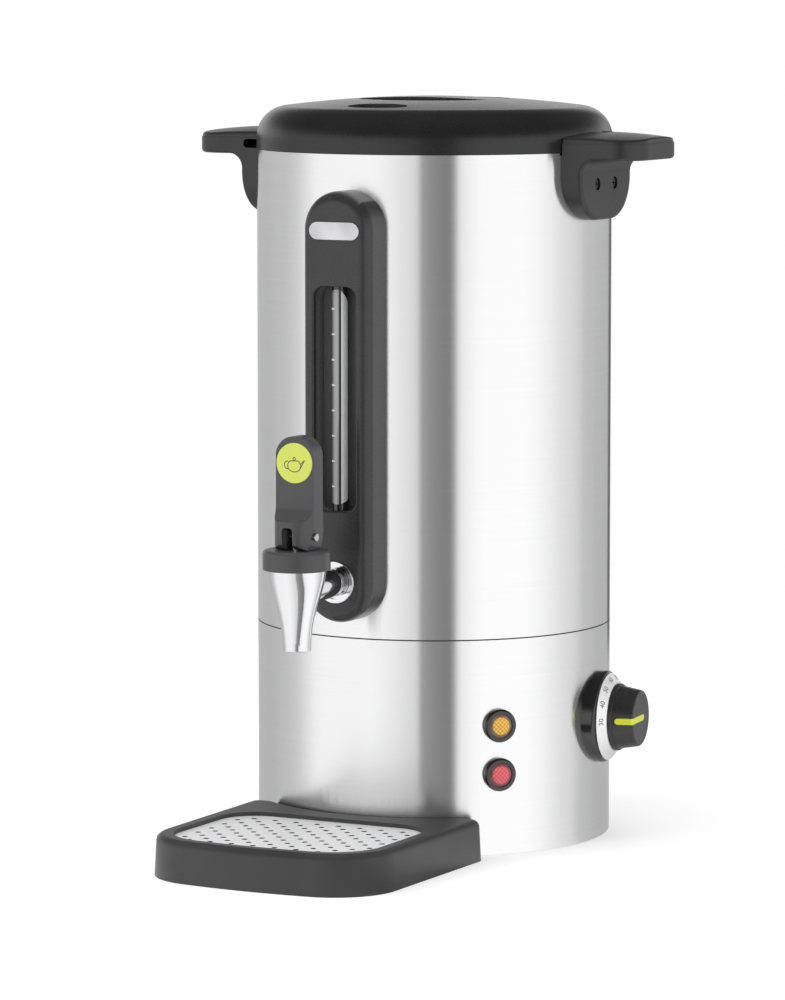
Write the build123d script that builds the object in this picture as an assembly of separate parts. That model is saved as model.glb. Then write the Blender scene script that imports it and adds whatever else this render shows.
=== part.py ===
from build123d import *
import os
from math import asin, cos, degrees, pi, radians, sin, sqrt

# A 10 litre hot water urn. Millimetres, +Z up, origin on the tank's axis at the table.
# The tap, the level gauge and the drip tray face -Y and the two handles lie along X.
# An azimuth is counted in degrees from the front (-Y) towards +X.
# Each group gives its own sizes first and then the places that follow from them.

# Clearances
FACE_GAP = 0.3        # between pieces of different moving groups that lie face to face
RUN_GAP = 0.05        # radial, a shaft or pin in its bore
HOLE_GAP = 0.2        # radial, a fixed screw or neck in its hole
PAST = 1.0            # how far a cutter runs past a flat face
FAR = 5.0             # how far a cutter runs past a curved wall

# Tank and base casing
BODY_R = 110.0
SHEET = 0.8           # stainless sheet of the tank wall and the base casing
TABLE_GAP = 0.8       # the casing's lower edge stands this far above the table
SEAM_Z = 133.3        # the tank wall's lower edge
SEAL_T = 0.8          # base seal between casing and tank
SEAL_W = 3.4
TANK_H = 292.4        # tank wall
RIM_W = 3.4           # rolled rim, measured inwards
RIM_H = 2.0
RIM_EDGE = 0.9
FLOOR_RISE = 12.7     # the tank floor's upper face, above the seam
FLOOR_T = 1.0
CASING_LIP_W = 9.0
HEM_W = 3.6
PAN_Z = 9.0           # underside of the base pan
PAN_T = 1.0
PAN_GAP = 0.4         # between the pan's rim and the casing
VENT_SLOT_L = 34.0    # cooling slots in the pan
VENT_SLOT_W = 3.0
VENT_SLOT_PITCH = 8.0
VENT_SLOTS = 5
VENT_SLOT_X = 20.0
VENT_SLOT_Y = -62.0   # the first slot
BORE_R = BODY_R - SHEET
TANK_TOP = SEAM_Z + TANK_H
FLOOR_Z = SEAM_Z + FLOOR_RISE
FLOOR_LOW = FLOOR_Z - FLOOR_T

# Feet
FOOT_R = 9.0
FOOT_INSET = 20.0     # a foot's axis, inside the body's wall
FOOT_STEM_R = 3.0
FOOT_BUTTON_R = 5.0
FOOT_BUTTON_T = 2.0
FOOT_EDGE = 1.0
FOOT_BUTTON_EDGE = 0.8
FOOT_COUNT = 4
FOOT_FIRST_AZIMUTH = 45.0
FOOT_RING_R = BODY_R - FOOT_INSET

# Tie rods that pull the base pan up against the casing
ROD_R = 3.0
ROD_SHOULDER_R = 4.2
ROD_INSET = 18.0
ROD_COUNT = 3
ROD_END = 1.0         # below its nut
NUT_FLATS = 10.0
NUT_H = 5.0
ROD_RING_R = BODY_R - ROD_INSET

# Heater
DIFFUSER_INSET = 30.0
DIFFUSER_T = 4.0
DIFFUSER_EDGE = 0.8
ELEMENT_R = 4.0
ELEMENT_INSET = 20.0  # the element's ring, inside the diffuser's edge
ELEMENT_ARC = 300.0
ELEMENT_TAIL_L = 35.0
ELEMENT_PIN_R = 1.6
ELEMENT_PIN_L = 12.0
SHIELD_DROP = 29.0    # under the diffuser
SHIELD_T = 0.8
SHIELD_GAP = 5.2      # round the shield
LEAD_HOLE_R = 6.5
CAPILLARY_HOLE_R = 3.0
DIFFUSER_R = BODY_R - DIFFUSER_INSET
DIFFUSER_LOW = FLOOR_LOW - DIFFUSER_T
ELEMENT_RING_R = DIFFUSER_R - ELEMENT_INSET
ELEMENT_Z = DIFFUSER_LOW - ELEMENT_R
ELEMENT_TAIL_Z = ELEMENT_Z - ELEMENT_TAIL_L
SHIELD_Z = DIFFUSER_LOW - SHIELD_DROP
SHIELD_R = BORE_R - SHIELD_GAP

# Thermostat and its capillary
KNOB_AZIMUTH = 97.0
KNOB_Z = 76.0
THERMO_W = 38.0
THERMO_H = 44.0
THERMO_D = 32.0
THERMO_CORNER = 3.0
THERMO_SET_BACK = 11.0    # the thermostat's front, behind the body's outer face
THERMO_NECK_R = 6.0
THERMO_NECK_PROUD = 1.5
THERMO_BOSS_R = 4.0
THREAD_DEPTH = 6.0        # how far the M4 screws go into the thermostat
SCREW_R = 2.0             # M4 screws
SCREW_HEAD_R = 3.6
SCREW_HEAD_T = 2.4
THERMO_SCREW_HALF = 14.0
TAB_W = 6.3               # push-on tabs of the thermostat and the cutout
TAB_T = 0.8
TAB_L = 8.0
TAB_HALF = 10.0
TAB_RAISE = 12.0
SHAFT_R = 3.0
SHAFT_DEPTH = 20.0        # the shaft's bore in the thermostat
SHAFT_CLEAR = 0.5         # behind the shaft's inner end
SHAFT_FLAT = 2.2          # from the shaft's axis to its flat
BULB_R = 3.0
BULB_L = 60.0
CAPILLARY_R = 1.0
CAPILLARY_BEND = 4.0
CAPILLARY_DROP = 6.0      # under the element
CAPILLARY_RUN = 10.0      # past the bulb's end
THERMO_FACE = BODY_R - THERMO_SET_BACK

# Dial and control knob
BEZEL_R = 28.5            # black ring behind the dial
BEZEL_STAND = 5.2         # proud of the body
BEZEL_EDGE = 2.4
DIAL_INSET = 0.5
DIAL_STEP = 0.2           # between the bezel's round edge and the dial's foot
DIAL_LIP = 0.8
DIAL_SLOPE = 6.6          # how much smaller the cone's top is, in radius
DIAL_RISE = 5.4
DIAL_RIM = 1.0
DIAL_WELL = 2.0           # depth inside the cone's rim
DIAL_HOLE_GAP = 2.0       # round the shaft
KNOB_R = 20.0
KNOB_TOP_R = 17.3
KNOB_L = 15.6
KNOB_SKIRT_R = 20.8
KNOB_SKIRT_T = 2.6
KNOB_SKIRT_EDGE = 1.0
KNOB_EDGE = 1.6
KNOB_HUB_R = 7.0
KNOB_HUB_PAST = 1.4       # the hub reaches this far into the dial
KNOB_HOLLOW_WALL = 3.0
KNOB_HOLLOW_H = 10.0
KNOB_CAP_T = 5.2          # solid above the shaft's end
POINTER_W = 3.8
POINTER_T = 0.5
POINTER_PAST = 6.0        # the pointer runs this far past the knob's axis
POINTER_START = 1.6       # above the skirt
BEZEL_FRONT = BODY_R + BEZEL_STAND
DIAL_R = BEZEL_R - DIAL_INSET
DIAL_TOP_R = DIAL_R - DIAL_SLOPE
DIAL_FRONT = BEZEL_FRONT + DIAL_RISE
KNOB_LOW = DIAL_FRONT + FACE_GAP
KNOB_FRONT = DIAL_FRONT + KNOB_L
KNOB_BACK = DIAL_FRONT - KNOB_HUB_PAST
SHAFT_END = KNOB_FRONT - KNOB_CAP_T

# Lamps
LAMP_AZIMUTH = 48.0
LAMP_LOW_Z = 50.2
LAMP_PITCH = 30.0
LAMP_BEZEL_R = 10.2
LAMP_BEZEL_STAND = 3.8
LAMP_BEZEL_EDGE = 1.5
LAMP_WINDOW_R = 7.4
LAMP_SEAT = 1.2           # the lens stands on this much of the bezel
LAMP_BODY_R = 6.2
LAMP_BODY_L = 26.0
LAMP_PIN_R = 0.8
LAMP_PIN_L = 6.0
LAMP_PIN_HALF = 2.5
LENS_GAP = 0.05
LENS_SINK = 0.6           # the lens's edge, behind the bezel's front
LENS_RISE = 1.2
LAMP_CLIP_R = 9.0
LAMP_CLIP_T = 1.6
LAMP_CLIP_GAP = 0.6
LAMP_BEZEL_FRONT = BODY_R + LAMP_BEZEL_STAND
LAMP_SEAT_R = BODY_R + LAMP_SEAT
LAMP_ZS = (LAMP_LOW_Z, LAMP_LOW_Z + LAMP_PITCH)

# Electrics on the base pan
CUTOUT_X, CUTOUT_Y = -48.0, -18.0
CUTOUT_L, CUTOUT_W, CUTOUT_H = 36.0, 22.0, 26.0
CUTOUT_WALL = 1.0
CUTOUT_CORNER = 2.0
COLLAR_R = 6.4
COLLAR_H = 3.0
BUTTON_R = 3.6
BUTTON_TRAVEL = 1.5
BUTTON_PROUD = 2.6
BUTTON_EDGE = 0.8
BUTTON_FLANGE_R = 5.4
BUTTON_FLANGE_T = 1.2
BUTTON_TIP_R = 2.2
BUTTON_TIP_L = 5.5
BUTTON_WELL_H = 9.0
BLOCK_X, BLOCK_Y = -12.0, 52.0
BLOCK_L, BLOCK_W, BLOCK_H = 46.0, 18.0, 16.0
BLOCK_WAYS = 4
BLOCK_SCREW_R = 2.4
BLOCK_SCREW_DEPTH = 5.0
BLOCK_WIRE_R = 1.8
EARTH_X, EARTH_Y = 42.0, 58.0
EARTH_R = 2.0
EARTH_L = 14.0
EARTH_HEAD_H = 2.0
EARTH_NUT_FLATS = 7.0
EARTH_NUT_H = 3.0
GLAND_Z = 26.0
GLAND_R = 6.0
GLAND_FLATS = 19.0
GLAND_FLANGE_T = 5.0
GLAND_CAP_L = 14.0        # from the casing to the cap's end
GLAND_CAP_R = 8.3
GLAND_CAP_EDGE = 3.0
GLAND_BORE_R = 3.6
GLAND_REACH = 13.0        # how far the gland's thread goes inside the casing
GLAND_NUT_H = 5.0
LEAD_R = 1.3              # insulated leads
LEAD_BEND = 6.0
LEAD_RUN = 16.0           # straight out of the terminal block
PAN_TOP = PAN_Z + PAN_T

# Handles
HANDLE_HALF = 36.2
HANDLE_REACH = 43.5       # from the body's wall to the tip
HANDLE_DROP = 4.2         # the grip plate's underside, below the tank's top
HANDLE_BAND = 10.0        # upright edge of the grip plate
HANDLE_CAP = 6.4          # domed cap above the edge
HANDLE_FALL = 2.8         # how far the dome falls to the tip, and to either end
HANDLE_CAP_EDGE = 2.0
HANDLE_CORNER = 20.0
HANDLE_CREASE = 0.6
LEG_T = 7.5
LEG_H = 37.0
LEG_CORNER = 26.0
LEG_FILLET = 9.0
LEG_EDGE = 2.5
LEG_SCREW_RISE = 22.0     # screw axes above the leg's lower end
SCREW_HALF = 12.25
SCREW_SINK = 1.0
SCREW_EDGE = 0.9
CROSS_L = 4.0
CROSS_W = 0.9
CROSS_DEPTH = 1.0
SCREW_TAIL = 3.0          # past the nut plate
NUT_PLATE_T = 2.5
NUT_PLATE_HALF = 20.0
NUT_PLATE_H = 13.0
HANDLE_TIP = BODY_R + HANDLE_REACH
HANDLE_LOW = TANK_TOP - HANDLE_DROP
HANDLE_EDGE_Z = HANDLE_LOW + HANDLE_BAND
HANDLE_TOP = HANDLE_EDGE_Z + HANDLE_CAP
LEG_FACE = BODY_R + LEG_T
LEG_LOW = HANDLE_LOW - LEG_H
SCREW_Z = LEG_LOW + LEG_SCREW_RISE

# Lid
LID_OVERHANG = 0.4
LID_H = 32.0
LID_DOME_R = 745.0
LID_CORNER = 20.0
LID_WALL = 2.5
LID_RECESS = 1.5          # the handles' recess for the lid starts this far below the tank's top
LUG_W = 12.0
LUG_REACH = 7.6
LUG_T = 3.0
LUG_GAP = 1.2             # under a lug, in its slot
LUG_END_GAP = 3.0
LID_SLOT_DROP = 0.5       # the bayonet slot's floor, below the tank's top
LID_SLOT_H = 5.5
LID_SLOT_HALF = 8.0
LID_SLOT_ROUND = 2.4      # rounded outer end of the slot
GRIP_R = 46.5
GRIP_FLOOR_RISE = 5.5
GRIP_BAR_HALF = 16.0
GRIP_BAR_T = 10.0
GRIP_BAR_EDGE = 3.5
VENT_Y = -76.0
VENT_L = 40.0
VENT_W = 20.0
VENT_WALL = 1.8
VENT_DEPTH = 14.0
VENT_INSET = 2.0          # how much smaller the inner plate's vent is
INNER_T = 0.8
INNER_DROP = 6.2          # the inner plate, below the tank's top
GASKET_W = 2.6
GASKET_H = 3.0
GASKET_EDGE = 0.8
STUD_R = 4.0
STUD_SHOULDER_R = 8.0
STUD_RIVET_T = 1.5
STUD_HEAD_R = 9.0
STUD_HEAD_T = 2.0
STUD_EDGE = 0.8
LID_R = BODY_R + LID_OVERHANG
LID_LOW = TANK_TOP + FACE_GAP
LID_APEX = LID_LOW + LID_H
LUG_R = LID_R + LUG_REACH
LID_SLOT_R = LUG_R + LUG_END_GAP
LID_SLOT_Z = TANK_TOP - LID_SLOT_DROP
GRIP_FLOOR = LID_LOW + GRIP_FLOOR_RISE
GRIP_FLOOR_LOW = GRIP_FLOOR - LID_WALL
INNER_Z = TANK_TOP - INNER_DROP
GASKET_R = BODY_R - RIM_W - FACE_GAP

# Front panel and level gauge
PANEL_DEPTH = 22.0        # proud of the body
PANEL_HALF = 22.7
PANEL_RAISE = 11.2        # above the seam
PANEL_DROP = 21.2         # below the tank's top
PANEL_EDGE = 7.2
PANEL_WALL = 2.3
WINDOW_HALF = 14.2
WINDOW_RAISE = 67.9       # above the panel's lower end
WINDOW_DROP = 57.0        # below the panel's top
WINDOW_CORNER = 7.0
WINDOW_EDGE = 1.2
TUB_DEPTH = 15.6          # recess behind the window, with its wall
TUB_WALL = 2.0
PLATE_DROP = 23.5         # nameplate's middle, below the panel's top
PLATE_L = 33.6
PLATE_H = 10.8
PLATE_T = 1.2
PLATE_PROUD = 0.6
PLATE_EDGE = 0.3
PANEL_SCREW_DROP = 11.5
PANEL_SCREW_R = 1.6
PANEL_SCREW_HEAD_R = 3.2
PANEL_SCREW_HEAD_T = 2.0
PANEL_SCREW_L = 11.0      # in front of the tank
PANEL_BOSS_R = 4.0
GAUGE_R = 4.9
GAUGE_BORE_R = 3.4
GAUGE_WALL_GAP = 0.9      # between the tube and the recess behind it
GAUGE_SEAL_T = 1.5
ELBOW_OFF = 16.5          # the fittings' necks, above and below the window
ELBOW_NECK_R = 4.0
ELBOW_NECK_L = 9.0        # inside the tank
ELBOW_BORE_R = 2.2
ELBOW_PORT_R = 1.98
ELBOW_PORT_OFF = 1.2
ELBOW_R = 6.2
ELBOW_DEPTH = 7.5         # from the neck's axis to the socket's mouth
ELBOW_END = 5.5           # from the neck's axis to the closed end
ELBOW_END_WALL = 2.0
ELBOW_NUT_FLATS = 12.0
ELBOW_NUT_H = 4.0
PANEL_FRONT = BODY_R + PANEL_DEPTH
PANEL_LOW = SEAM_Z + PANEL_RAISE
PANEL_TOP = TANK_TOP - PANEL_DROP
PANEL_H = PANEL_TOP - PANEL_LOW
WINDOW_LOW = PANEL_LOW + WINDOW_RAISE
WINDOW_TOP = PANEL_TOP - WINDOW_DROP
TUB_BACK = PANEL_FRONT - TUB_DEPTH
PLATE_Z = PANEL_TOP - PLATE_DROP
PANEL_SCREW_Z = PANEL_TOP - PANEL_SCREW_DROP
PANEL_SCREW_END = BODY_R + PANEL_SCREW_L
GAUGE_Y = -(TUB_BACK + TUB_WALL + GAUGE_WALL_GAP + GAUGE_R)
ELBOW_LOW_Z = WINDOW_LOW - ELBOW_OFF
ELBOW_TOP_Z = WINDOW_TOP + ELBOW_OFF

# Tap
TAP_REACH = 47.5          # from the panel's face to the tap's upright axis
SHANK_RAISE = 25.0        # above the panel's lower end
SHANK_R = 8.0
SHANK_BORE_R = 5.0
SHANK_IN_L = 16.2         # inside the tank
SHANK_OUT_L = 14.0        # in front of the panel
SHANK_NUT_FLATS = 24.0
SHANK_NUT_H = 6.0
SHANK_SEAL_R = 12.0
SHANK_SEAL_T = 3.0
RING_R = 13.0             # chrome ring round the shank
RING_T = 6.5
RING_PROUD = 0.4
RING_EDGE = 0.8
RING_STEP_R = 10.6
RING_STEP = 1.6
RING_BOSS_WALL = 3.0
NECK_R = 8.8
SPOUT_DROP = 35.5         # the outlet, below the shank's axis
SPOUT_RISE = 13.0
SPOUT_R_TOP = 17.7
SPOUT_R_SHOULDER = 16.6
SPOUT_R_MID = 12.6
SPOUT_R_LOW = 9.1
SPOUT_R_TIP = 8.7
SPOUT_LOW_H = 10.0        # heights of the two lower radii above the outlet
SPOUT_MID_H = 26.5
SPOUT_SHOULDER_H = 7.5    # below the spout's top
SPOUT_TIP_EDGE = 0.5
CHAMBER_R = 10.6
CHAMBER_DROP = 8.0        # the valve seat, below the shank's axis
NOZZLE_R = 6.4
BONNET_R = 20.2
BONNET_H = 12.0
BONNET_EDGE = 2.2
BONNET_LOW_EDGE = 0.6
BONNET_SPIGOT_R = 10.2
BONNET_SPIGOT_H = 4.0
STEM_R = 3.2
STEM_EDGE = 1.0
STEM_PAST = 4.2           # above the lever's pin
STEM_SEAT = 3.0           # in the seat cup
STEM_COLLAR_T = 1.2
CUP_R = 9.0
CUP_H = 5.0
CUP_GAP = 0.15
CUP_EDGE = 1.5
SPRING_R = 6.0
SPRING_WIRE_R = 0.6
SPRING_TURNS = 5
PIN_RISE = 7.9            # above the bonnet
PIN_R = 1.75
PIN_HEAD_R = 2.5
PIN_HEAD_T = 0.9
PIN_HEAD_EDGE = 0.5
STEM_LIFT = 3.5
SHANK_Z = PANEL_LOW + SHANK_RAISE
SHANK_INNER = BORE_R - SHANK_IN_L
SHANK_OUTER = PANEL_FRONT + SHANK_OUT_L
RING_BACK = PANEL_FRONT - RING_T
TAP_Y = -(PANEL_FRONT + TAP_REACH)
SPOUT_LOW = SHANK_Z - SPOUT_DROP
SPOUT_TOP = SHANK_Z + SPOUT_RISE
CHAMBER_FLOOR = SHANK_Z - CHAMBER_DROP
BONNET_LOW = SPOUT_TOP
BONNET_TOP = BONNET_LOW + BONNET_H
PIN_Z = BONNET_TOP + PIN_RISE
STEM_TOP_Z = PIN_Z + STEM_PAST
CUP_LOW = CHAMBER_FLOOR + CUP_GAP
CUP_TOP = CUP_LOW + CUP_H

# Tap lever
LEVER_HALF = 12.7
LEVER_AHEAD = 2.5         # the paddle's face, in front of the tap's axis
LEVER_T = 11.8
LEVER_L = 59.6            # above the pin
LEVER_LEDGE_RISE = 9.6
LEVER_FOOT_AHEAD = 11.8
LEVER_FOOT_BEHIND = 10.5
LEVER_LIP = 0.8           # the ledge stands this much in front of the foot
LEVER_LIP_H = 1.5
LEVER_TOE_H = 3.0
LEVER_HEEL = 5.0
LEVER_HEEL_STEP = 1.5
LEVER_SCOOP = 9.0
LEVER_CROWN = 12.1        # rounding of the paddle's top corners
LEVER_NOSE = 11.8         # rounding of the foot's front corners
LEVER_CHEEK_TILT = 8.5    # the foot's sides lean in by this angle
LEVER_CHEEK_H = 12.0
LEVER_SLOT_HALF = 3.5
LEVER_SLOT_RISE = 6.1
LEVER_SLOT_BEHIND = 5.5
LEVER_SLOT_EDGE = 2.0
LEVER_TILT = 45.0
LEVER_GAP = 0.2           # between the lever's cam and the bonnet
CAM_SPARE = 3.0           # the cam runs on for this angle
DISC_R = 12.0
DISC_T = 1.0
DISC_PROUD = 0.3
DISC_DROP = 15.8          # below the lever's top
DISC_EDGE = 0.25
LEVER_FRONT = TAP_Y - LEVER_AHEAD
LEVER_BACK = LEVER_FRONT + LEVER_T
LEVER_TOP = PIN_Z + LEVER_L
LEVER_LEDGE_Z = PIN_Z + LEVER_LEDGE_RISE
LEVER_FOOT_FRONT = TAP_Y - LEVER_FOOT_AHEAD
LEVER_FOOT_BACK = TAP_Y + LEVER_FOOT_BEHIND
LEVER_SLOT_BACK = TAP_Y + LEVER_SLOT_BEHIND
DISC_Z = LEVER_TOP - DISC_DROP
CAM_RISE = STEM_LIFT / radians(LEVER_TILT)
CAM_REACH = PIN_RISE - LEVER_GAP
LEVER_SOLE = PIN_Z - CAM_REACH

# Drip tray and grid
TRAY_H = 25.0
TRAY_REACH = 135.5        # in front of the body
TRAY_HALF = 78.0
TRAY_REAR_HALF = 80.5
TRAY_WRAP = 21.5          # how far the tray's arms reach back beside the body
TRAY_BOW = 9.0            # how far the front is bowed out
TRAY_CORNER = 40.0
TRAY_REAR_CORNER = 8.0
TRAY_GAP = 0.5            # between the tray and the casing
TRAY_EDGE = 4.5
TRAY_DRAFT = 3.0          # degrees that the sides lean inwards
TRAY_FLOOR = 3.0
BOWL_SIDE = 10.0          # the tray's rim at the sides, in front and at the body
BOWL_AHEAD = 10.5
BOWL_BEHIND = 19.0
BOWL_BOW = 6.0
BOWL_CORNER = 32.0
BOWL_REAR_CORNER = 24.0
LEDGE_W = 3.0
GRID_SINK = 2.4           # the grid's upper face, below the tray's top
GRID_T = 1.0
GRID_GAP = 0.4
HOLE_R = 1.8
HOLE_PITCH_X = 14.5
HOLE_PITCH_Y = 8.0
HOLE_MARGIN = 5.0
TRAY_FRONT = -(BODY_R + TRAY_REACH)
TRAY_REAR = -(BODY_R - TRAY_WRAP)
BOWL_HALF = TRAY_HALF - BOWL_SIDE
BOWL_FRONT = TRAY_FRONT + BOWL_AHEAD
BOWL_BACK = -(BODY_R + BOWL_BEHIND)
GRID_Z = TRAY_H - GRID_SINK


# Shared shapes

def radial_plane(azimuth, distance=0.0, height=0.0):
    """Plane whose normal points straight out from the axis; its x runs round the body, its y up."""
    a = radians(azimuth)
    out = Vector(sin(a), -cos(a), 0)
    round_body = Vector(cos(a), sin(a), 0)
    return Plane(origin=out * distance + Vector(0, 0, height), x_dir=round_body, z_dir=out)


def disc(radius, low, high):
    return Pos(0, 0, (low + high) / 2) * Cylinder(radius, high - low)


def tube(outer, inner, low, high):
    return disc(outer, low, high) - disc(inner, low - PAST, high + PAST)


def stub(plane, radius, start, end):
    """Round bar along a plane's normal."""
    return plane * Pos(0, 0, (start + end) / 2) * Cylinder(radius, end - start)


def block(x_low, x_high, y_low, y_high, z_low, z_high):
    centre = Pos((x_low + x_high) / 2, (y_low + y_high) / 2, (z_low + z_high) / 2)
    return centre * Box(x_high - x_low, y_high - y_low, z_high - z_low)


def hexagon(flats, height):
    """Hexagonal bar from z 0 upwards."""
    return extrude(RegularPolygon(flats / 2, 6, major_radius=False), height)


def around(azimuth, radius):
    a = radians(azimuth)
    return Pos(radius * sin(a), -radius * cos(a), 0)


def ring_azimuths(count, first=0.0):
    return [first + 360.0 * i / count for i in range(count)]


def lead(points, radius, bend):
    """Round wire along straight runs joined by tangent arcs."""
    path = FilletPolyline(*points, radius=bend)
    profile = Plane(origin=path @ 0, z_dir=path % 0) * Circle(radius)
    return sweep(profile, path=path)


# Places on the body

KNOB_PLANE = radial_plane(KNOB_AZIMUTH, 0, KNOB_Z)
FRONT_PLANE = radial_plane(0)
TAP_PLANE = radial_plane(0, 0, SHANK_Z)
PANEL_SCREW_PLANE = radial_plane(0, 0, PANEL_SCREW_Z)
GLAND_PLANE = radial_plane(180, 0, GLAND_Z)
ROD_AZIMUTHS = ring_azimuths(ROD_COUNT)
FOOT_AZIMUTHS = ring_azimuths(FOOT_COUNT, FOOT_FIRST_AZIMUTH)
ELEMENT_ENDS = [pi * (1.5 + side * (1 - ELEMENT_ARC / 360)) for side in (-1, 1)]


def wall_hole(plane, radius):
    """Cutter through the sheet wall of the tank or the casing."""
    return stub(plane, radius, BORE_R - FAR, BODY_R + FAR)


def sheet_hole(place, radius, low, high):
    """Upright cutter through a plate that lies between low and high."""
    return place * disc(radius, low - PAST, high + PAST)


def sagitta(radius, half_width):
    """How far a round body falls away at half_width from its middle."""
    return radius - sqrt(radius ** 2 - half_width ** 2)


# Tank and base

def tank():
    wall = tube(BODY_R, BORE_R, SEAM_Z, TANK_TOP)
    rim = tube(BODY_R, BODY_R - RIM_W, TANK_TOP - RIM_H, TANK_TOP)
    inner_edge = rim.edges().filter_by(GeomType.CIRCLE).sort_by(SortBy.RADIUS)[:2]
    rim = fillet(inner_edge, RIM_EDGE)
    shell = wall + rim + disc(BORE_R, FLOOR_LOW, FLOOR_Z)
    shell -= wall_hole(TAP_PLANE, SHANK_R + HOLE_GAP)
    for z in (ELBOW_LOW_Z, ELBOW_TOP_Z):
        shell -= wall_hole(radial_plane(0, 0, z), ELBOW_NECK_R + HOLE_GAP)
    shell -= wall_hole(PANEL_SCREW_PLANE, PANEL_SCREW_R + HOLE_GAP)
    for plane in handle_screw_planes():
        shell -= wall_hole(plane, SCREW_R + HOLE_GAP)
    return shell


def base_seal():
    return tube(BODY_R, BODY_R - SEAL_W, SEAM_Z - SEAL_T, SEAM_Z)


def base_casing():
    top = SEAM_Z - SEAL_T
    shell = tube(BODY_R, BORE_R, TABLE_GAP, top)
    shell += tube(BODY_R, BODY_R - CASING_LIP_W, top - SHEET, top)
    shell += tube(BODY_R, BODY_R - HEM_W, TABLE_GAP, TABLE_GAP + SHEET)
    shell -= wall_hole(KNOB_PLANE, THERMO_NECK_R + HOLE_GAP)
    for plane in thermostat_screw_planes():
        shell -= wall_hole(plane, SCREW_R + HOLE_GAP)
    for z in LAMP_ZS:
        shell -= wall_hole(radial_plane(LAMP_AZIMUTH, 0, z), LAMP_BODY_R + HOLE_GAP)
    shell -= wall_hole(GLAND_PLANE, GLAND_R + HOLE_GAP)
    return shell


def base_pan():
    rim_r = BORE_R - PAN_GAP
    pan = disc(rim_r, PAN_Z, PAN_TOP)
    pan += tube(rim_r, rim_r - PAN_T, TABLE_GAP + SHEET, PAN_TOP)
    for azimuth in ROD_AZIMUTHS:
        pan -= sheet_hole(around(azimuth, ROD_RING_R), ROD_R + HOLE_GAP, PAN_Z, PAN_TOP)
    for azimuth in FOOT_AZIMUTHS:
        pan -= sheet_hole(around(azimuth, FOOT_RING_R), FOOT_STEM_R, PAN_Z, PAN_TOP)
    pan -= sheet_hole(Pos(CUTOUT_X, CUTOUT_Y, 0), BUTTON_R + 2 * HOLE_GAP, PAN_Z, PAN_TOP)
    pan -= sheet_hole(Pos(EARTH_X, EARTH_Y, 0), EARTH_R, PAN_Z, PAN_TOP)
    slot = extrude(SlotOverall(VENT_SLOT_L, VENT_SLOT_W), PAN_T + 2 * PAST)
    for i in range(VENT_SLOTS):
        pan -= Pos(VENT_SLOT_X, VENT_SLOT_Y + i * VENT_SLOT_PITCH, PAN_Z - PAST) * slot
    return pan


def rubber_feet():
    feet = []
    for azimuth in FOOT_AZIMUTHS:
        pad = disc(FOOT_R, 0, PAN_Z)
        pad = chamfer(pad.edges().group_by(Axis.Z)[0], FOOT_EDGE)
        stem = disc(FOOT_STEM_R, PAN_Z, PAN_TOP)
        button = disc(FOOT_BUTTON_R, PAN_TOP, PAN_TOP + FOOT_BUTTON_T)
        button = chamfer(button.edges().group_by(Axis.Z)[-1], FOOT_BUTTON_EDGE)
        feet.append(around(azimuth, FOOT_RING_R) * (pad + stem + button))
    return Compound(feet)


def tie_rods():
    rod = disc(ROD_R, PAN_Z - NUT_H - ROD_END, FLOOR_LOW) + disc(ROD_SHOULDER_R, PAN_TOP, SHIELD_Z)
    return Compound([around(a, ROD_RING_R) * rod for a in ROD_AZIMUTHS])


def tie_nuts():
    nut = Pos(0, 0, PAN_Z - NUT_H) * hexagon(NUT_FLATS, NUT_H)
    nut -= disc(ROD_R, PAN_Z - NUT_H - PAST, PAN_Z + PAST)
    return Compound([around(a, ROD_RING_R) * nut for a in ROD_AZIMUTHS])


# Heater

def diffuser_plate():
    plate = disc(DIFFUSER_R, DIFFUSER_LOW, FLOOR_LOW)
    return chamfer(plate.edges().group_by(Axis.Z)[0], DIFFUSER_EDGE)


def element_end_places():
    return [Pos(ELEMENT_RING_R * cos(a), ELEMENT_RING_R * sin(a), 0) for a in ELEMENT_ENDS]


def heating_element():
    circle = Pos(ELEMENT_RING_R, 0, ELEMENT_Z) * (Plane.XZ * Circle(ELEMENT_R))
    start = degrees(ELEMENT_ENDS[1])
    ring = revolve(Rot(0, 0, start) * circle, Axis.Z, ELEMENT_ARC)
    for place in element_end_places():
        ring += place * disc(ELEMENT_R, ELEMENT_TAIL_Z + ELEMENT_PIN_L, ELEMENT_Z)
        ring += place * Pos(0, 0, ELEMENT_Z) * Sphere(ELEMENT_R)
        ring += place * disc(ELEMENT_PIN_R, ELEMENT_TAIL_Z, ELEMENT_TAIL_Z + ELEMENT_PIN_L)
    return ring


def heat_shield():
    top = SHIELD_Z + SHIELD_T
    plate = disc(SHIELD_R, SHIELD_Z, top)
    for azimuth in ROD_AZIMUTHS:
        plate -= sheet_hole(around(azimuth, ROD_RING_R), ROD_R + HOLE_GAP, SHIELD_Z, top)
    for place in element_end_places():
        plate -= sheet_hole(place, LEAD_HOLE_R, SHIELD_Z, top)
    return plate - sheet_hole(capillary_place(), CAPILLARY_HOLE_R, SHIELD_Z, top)


# Thermostat and knob

def thermostat_screw_planes():
    return [KNOB_PLANE * Pos(0, side * THERMO_SCREW_HALF, 0) for side in (-1, 1)]


def capillary_place():
    """Where the capillary goes down into the thermostat's top."""
    return around(KNOB_AZIMUTH, THERMO_FACE - THERMO_D / 2)


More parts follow.
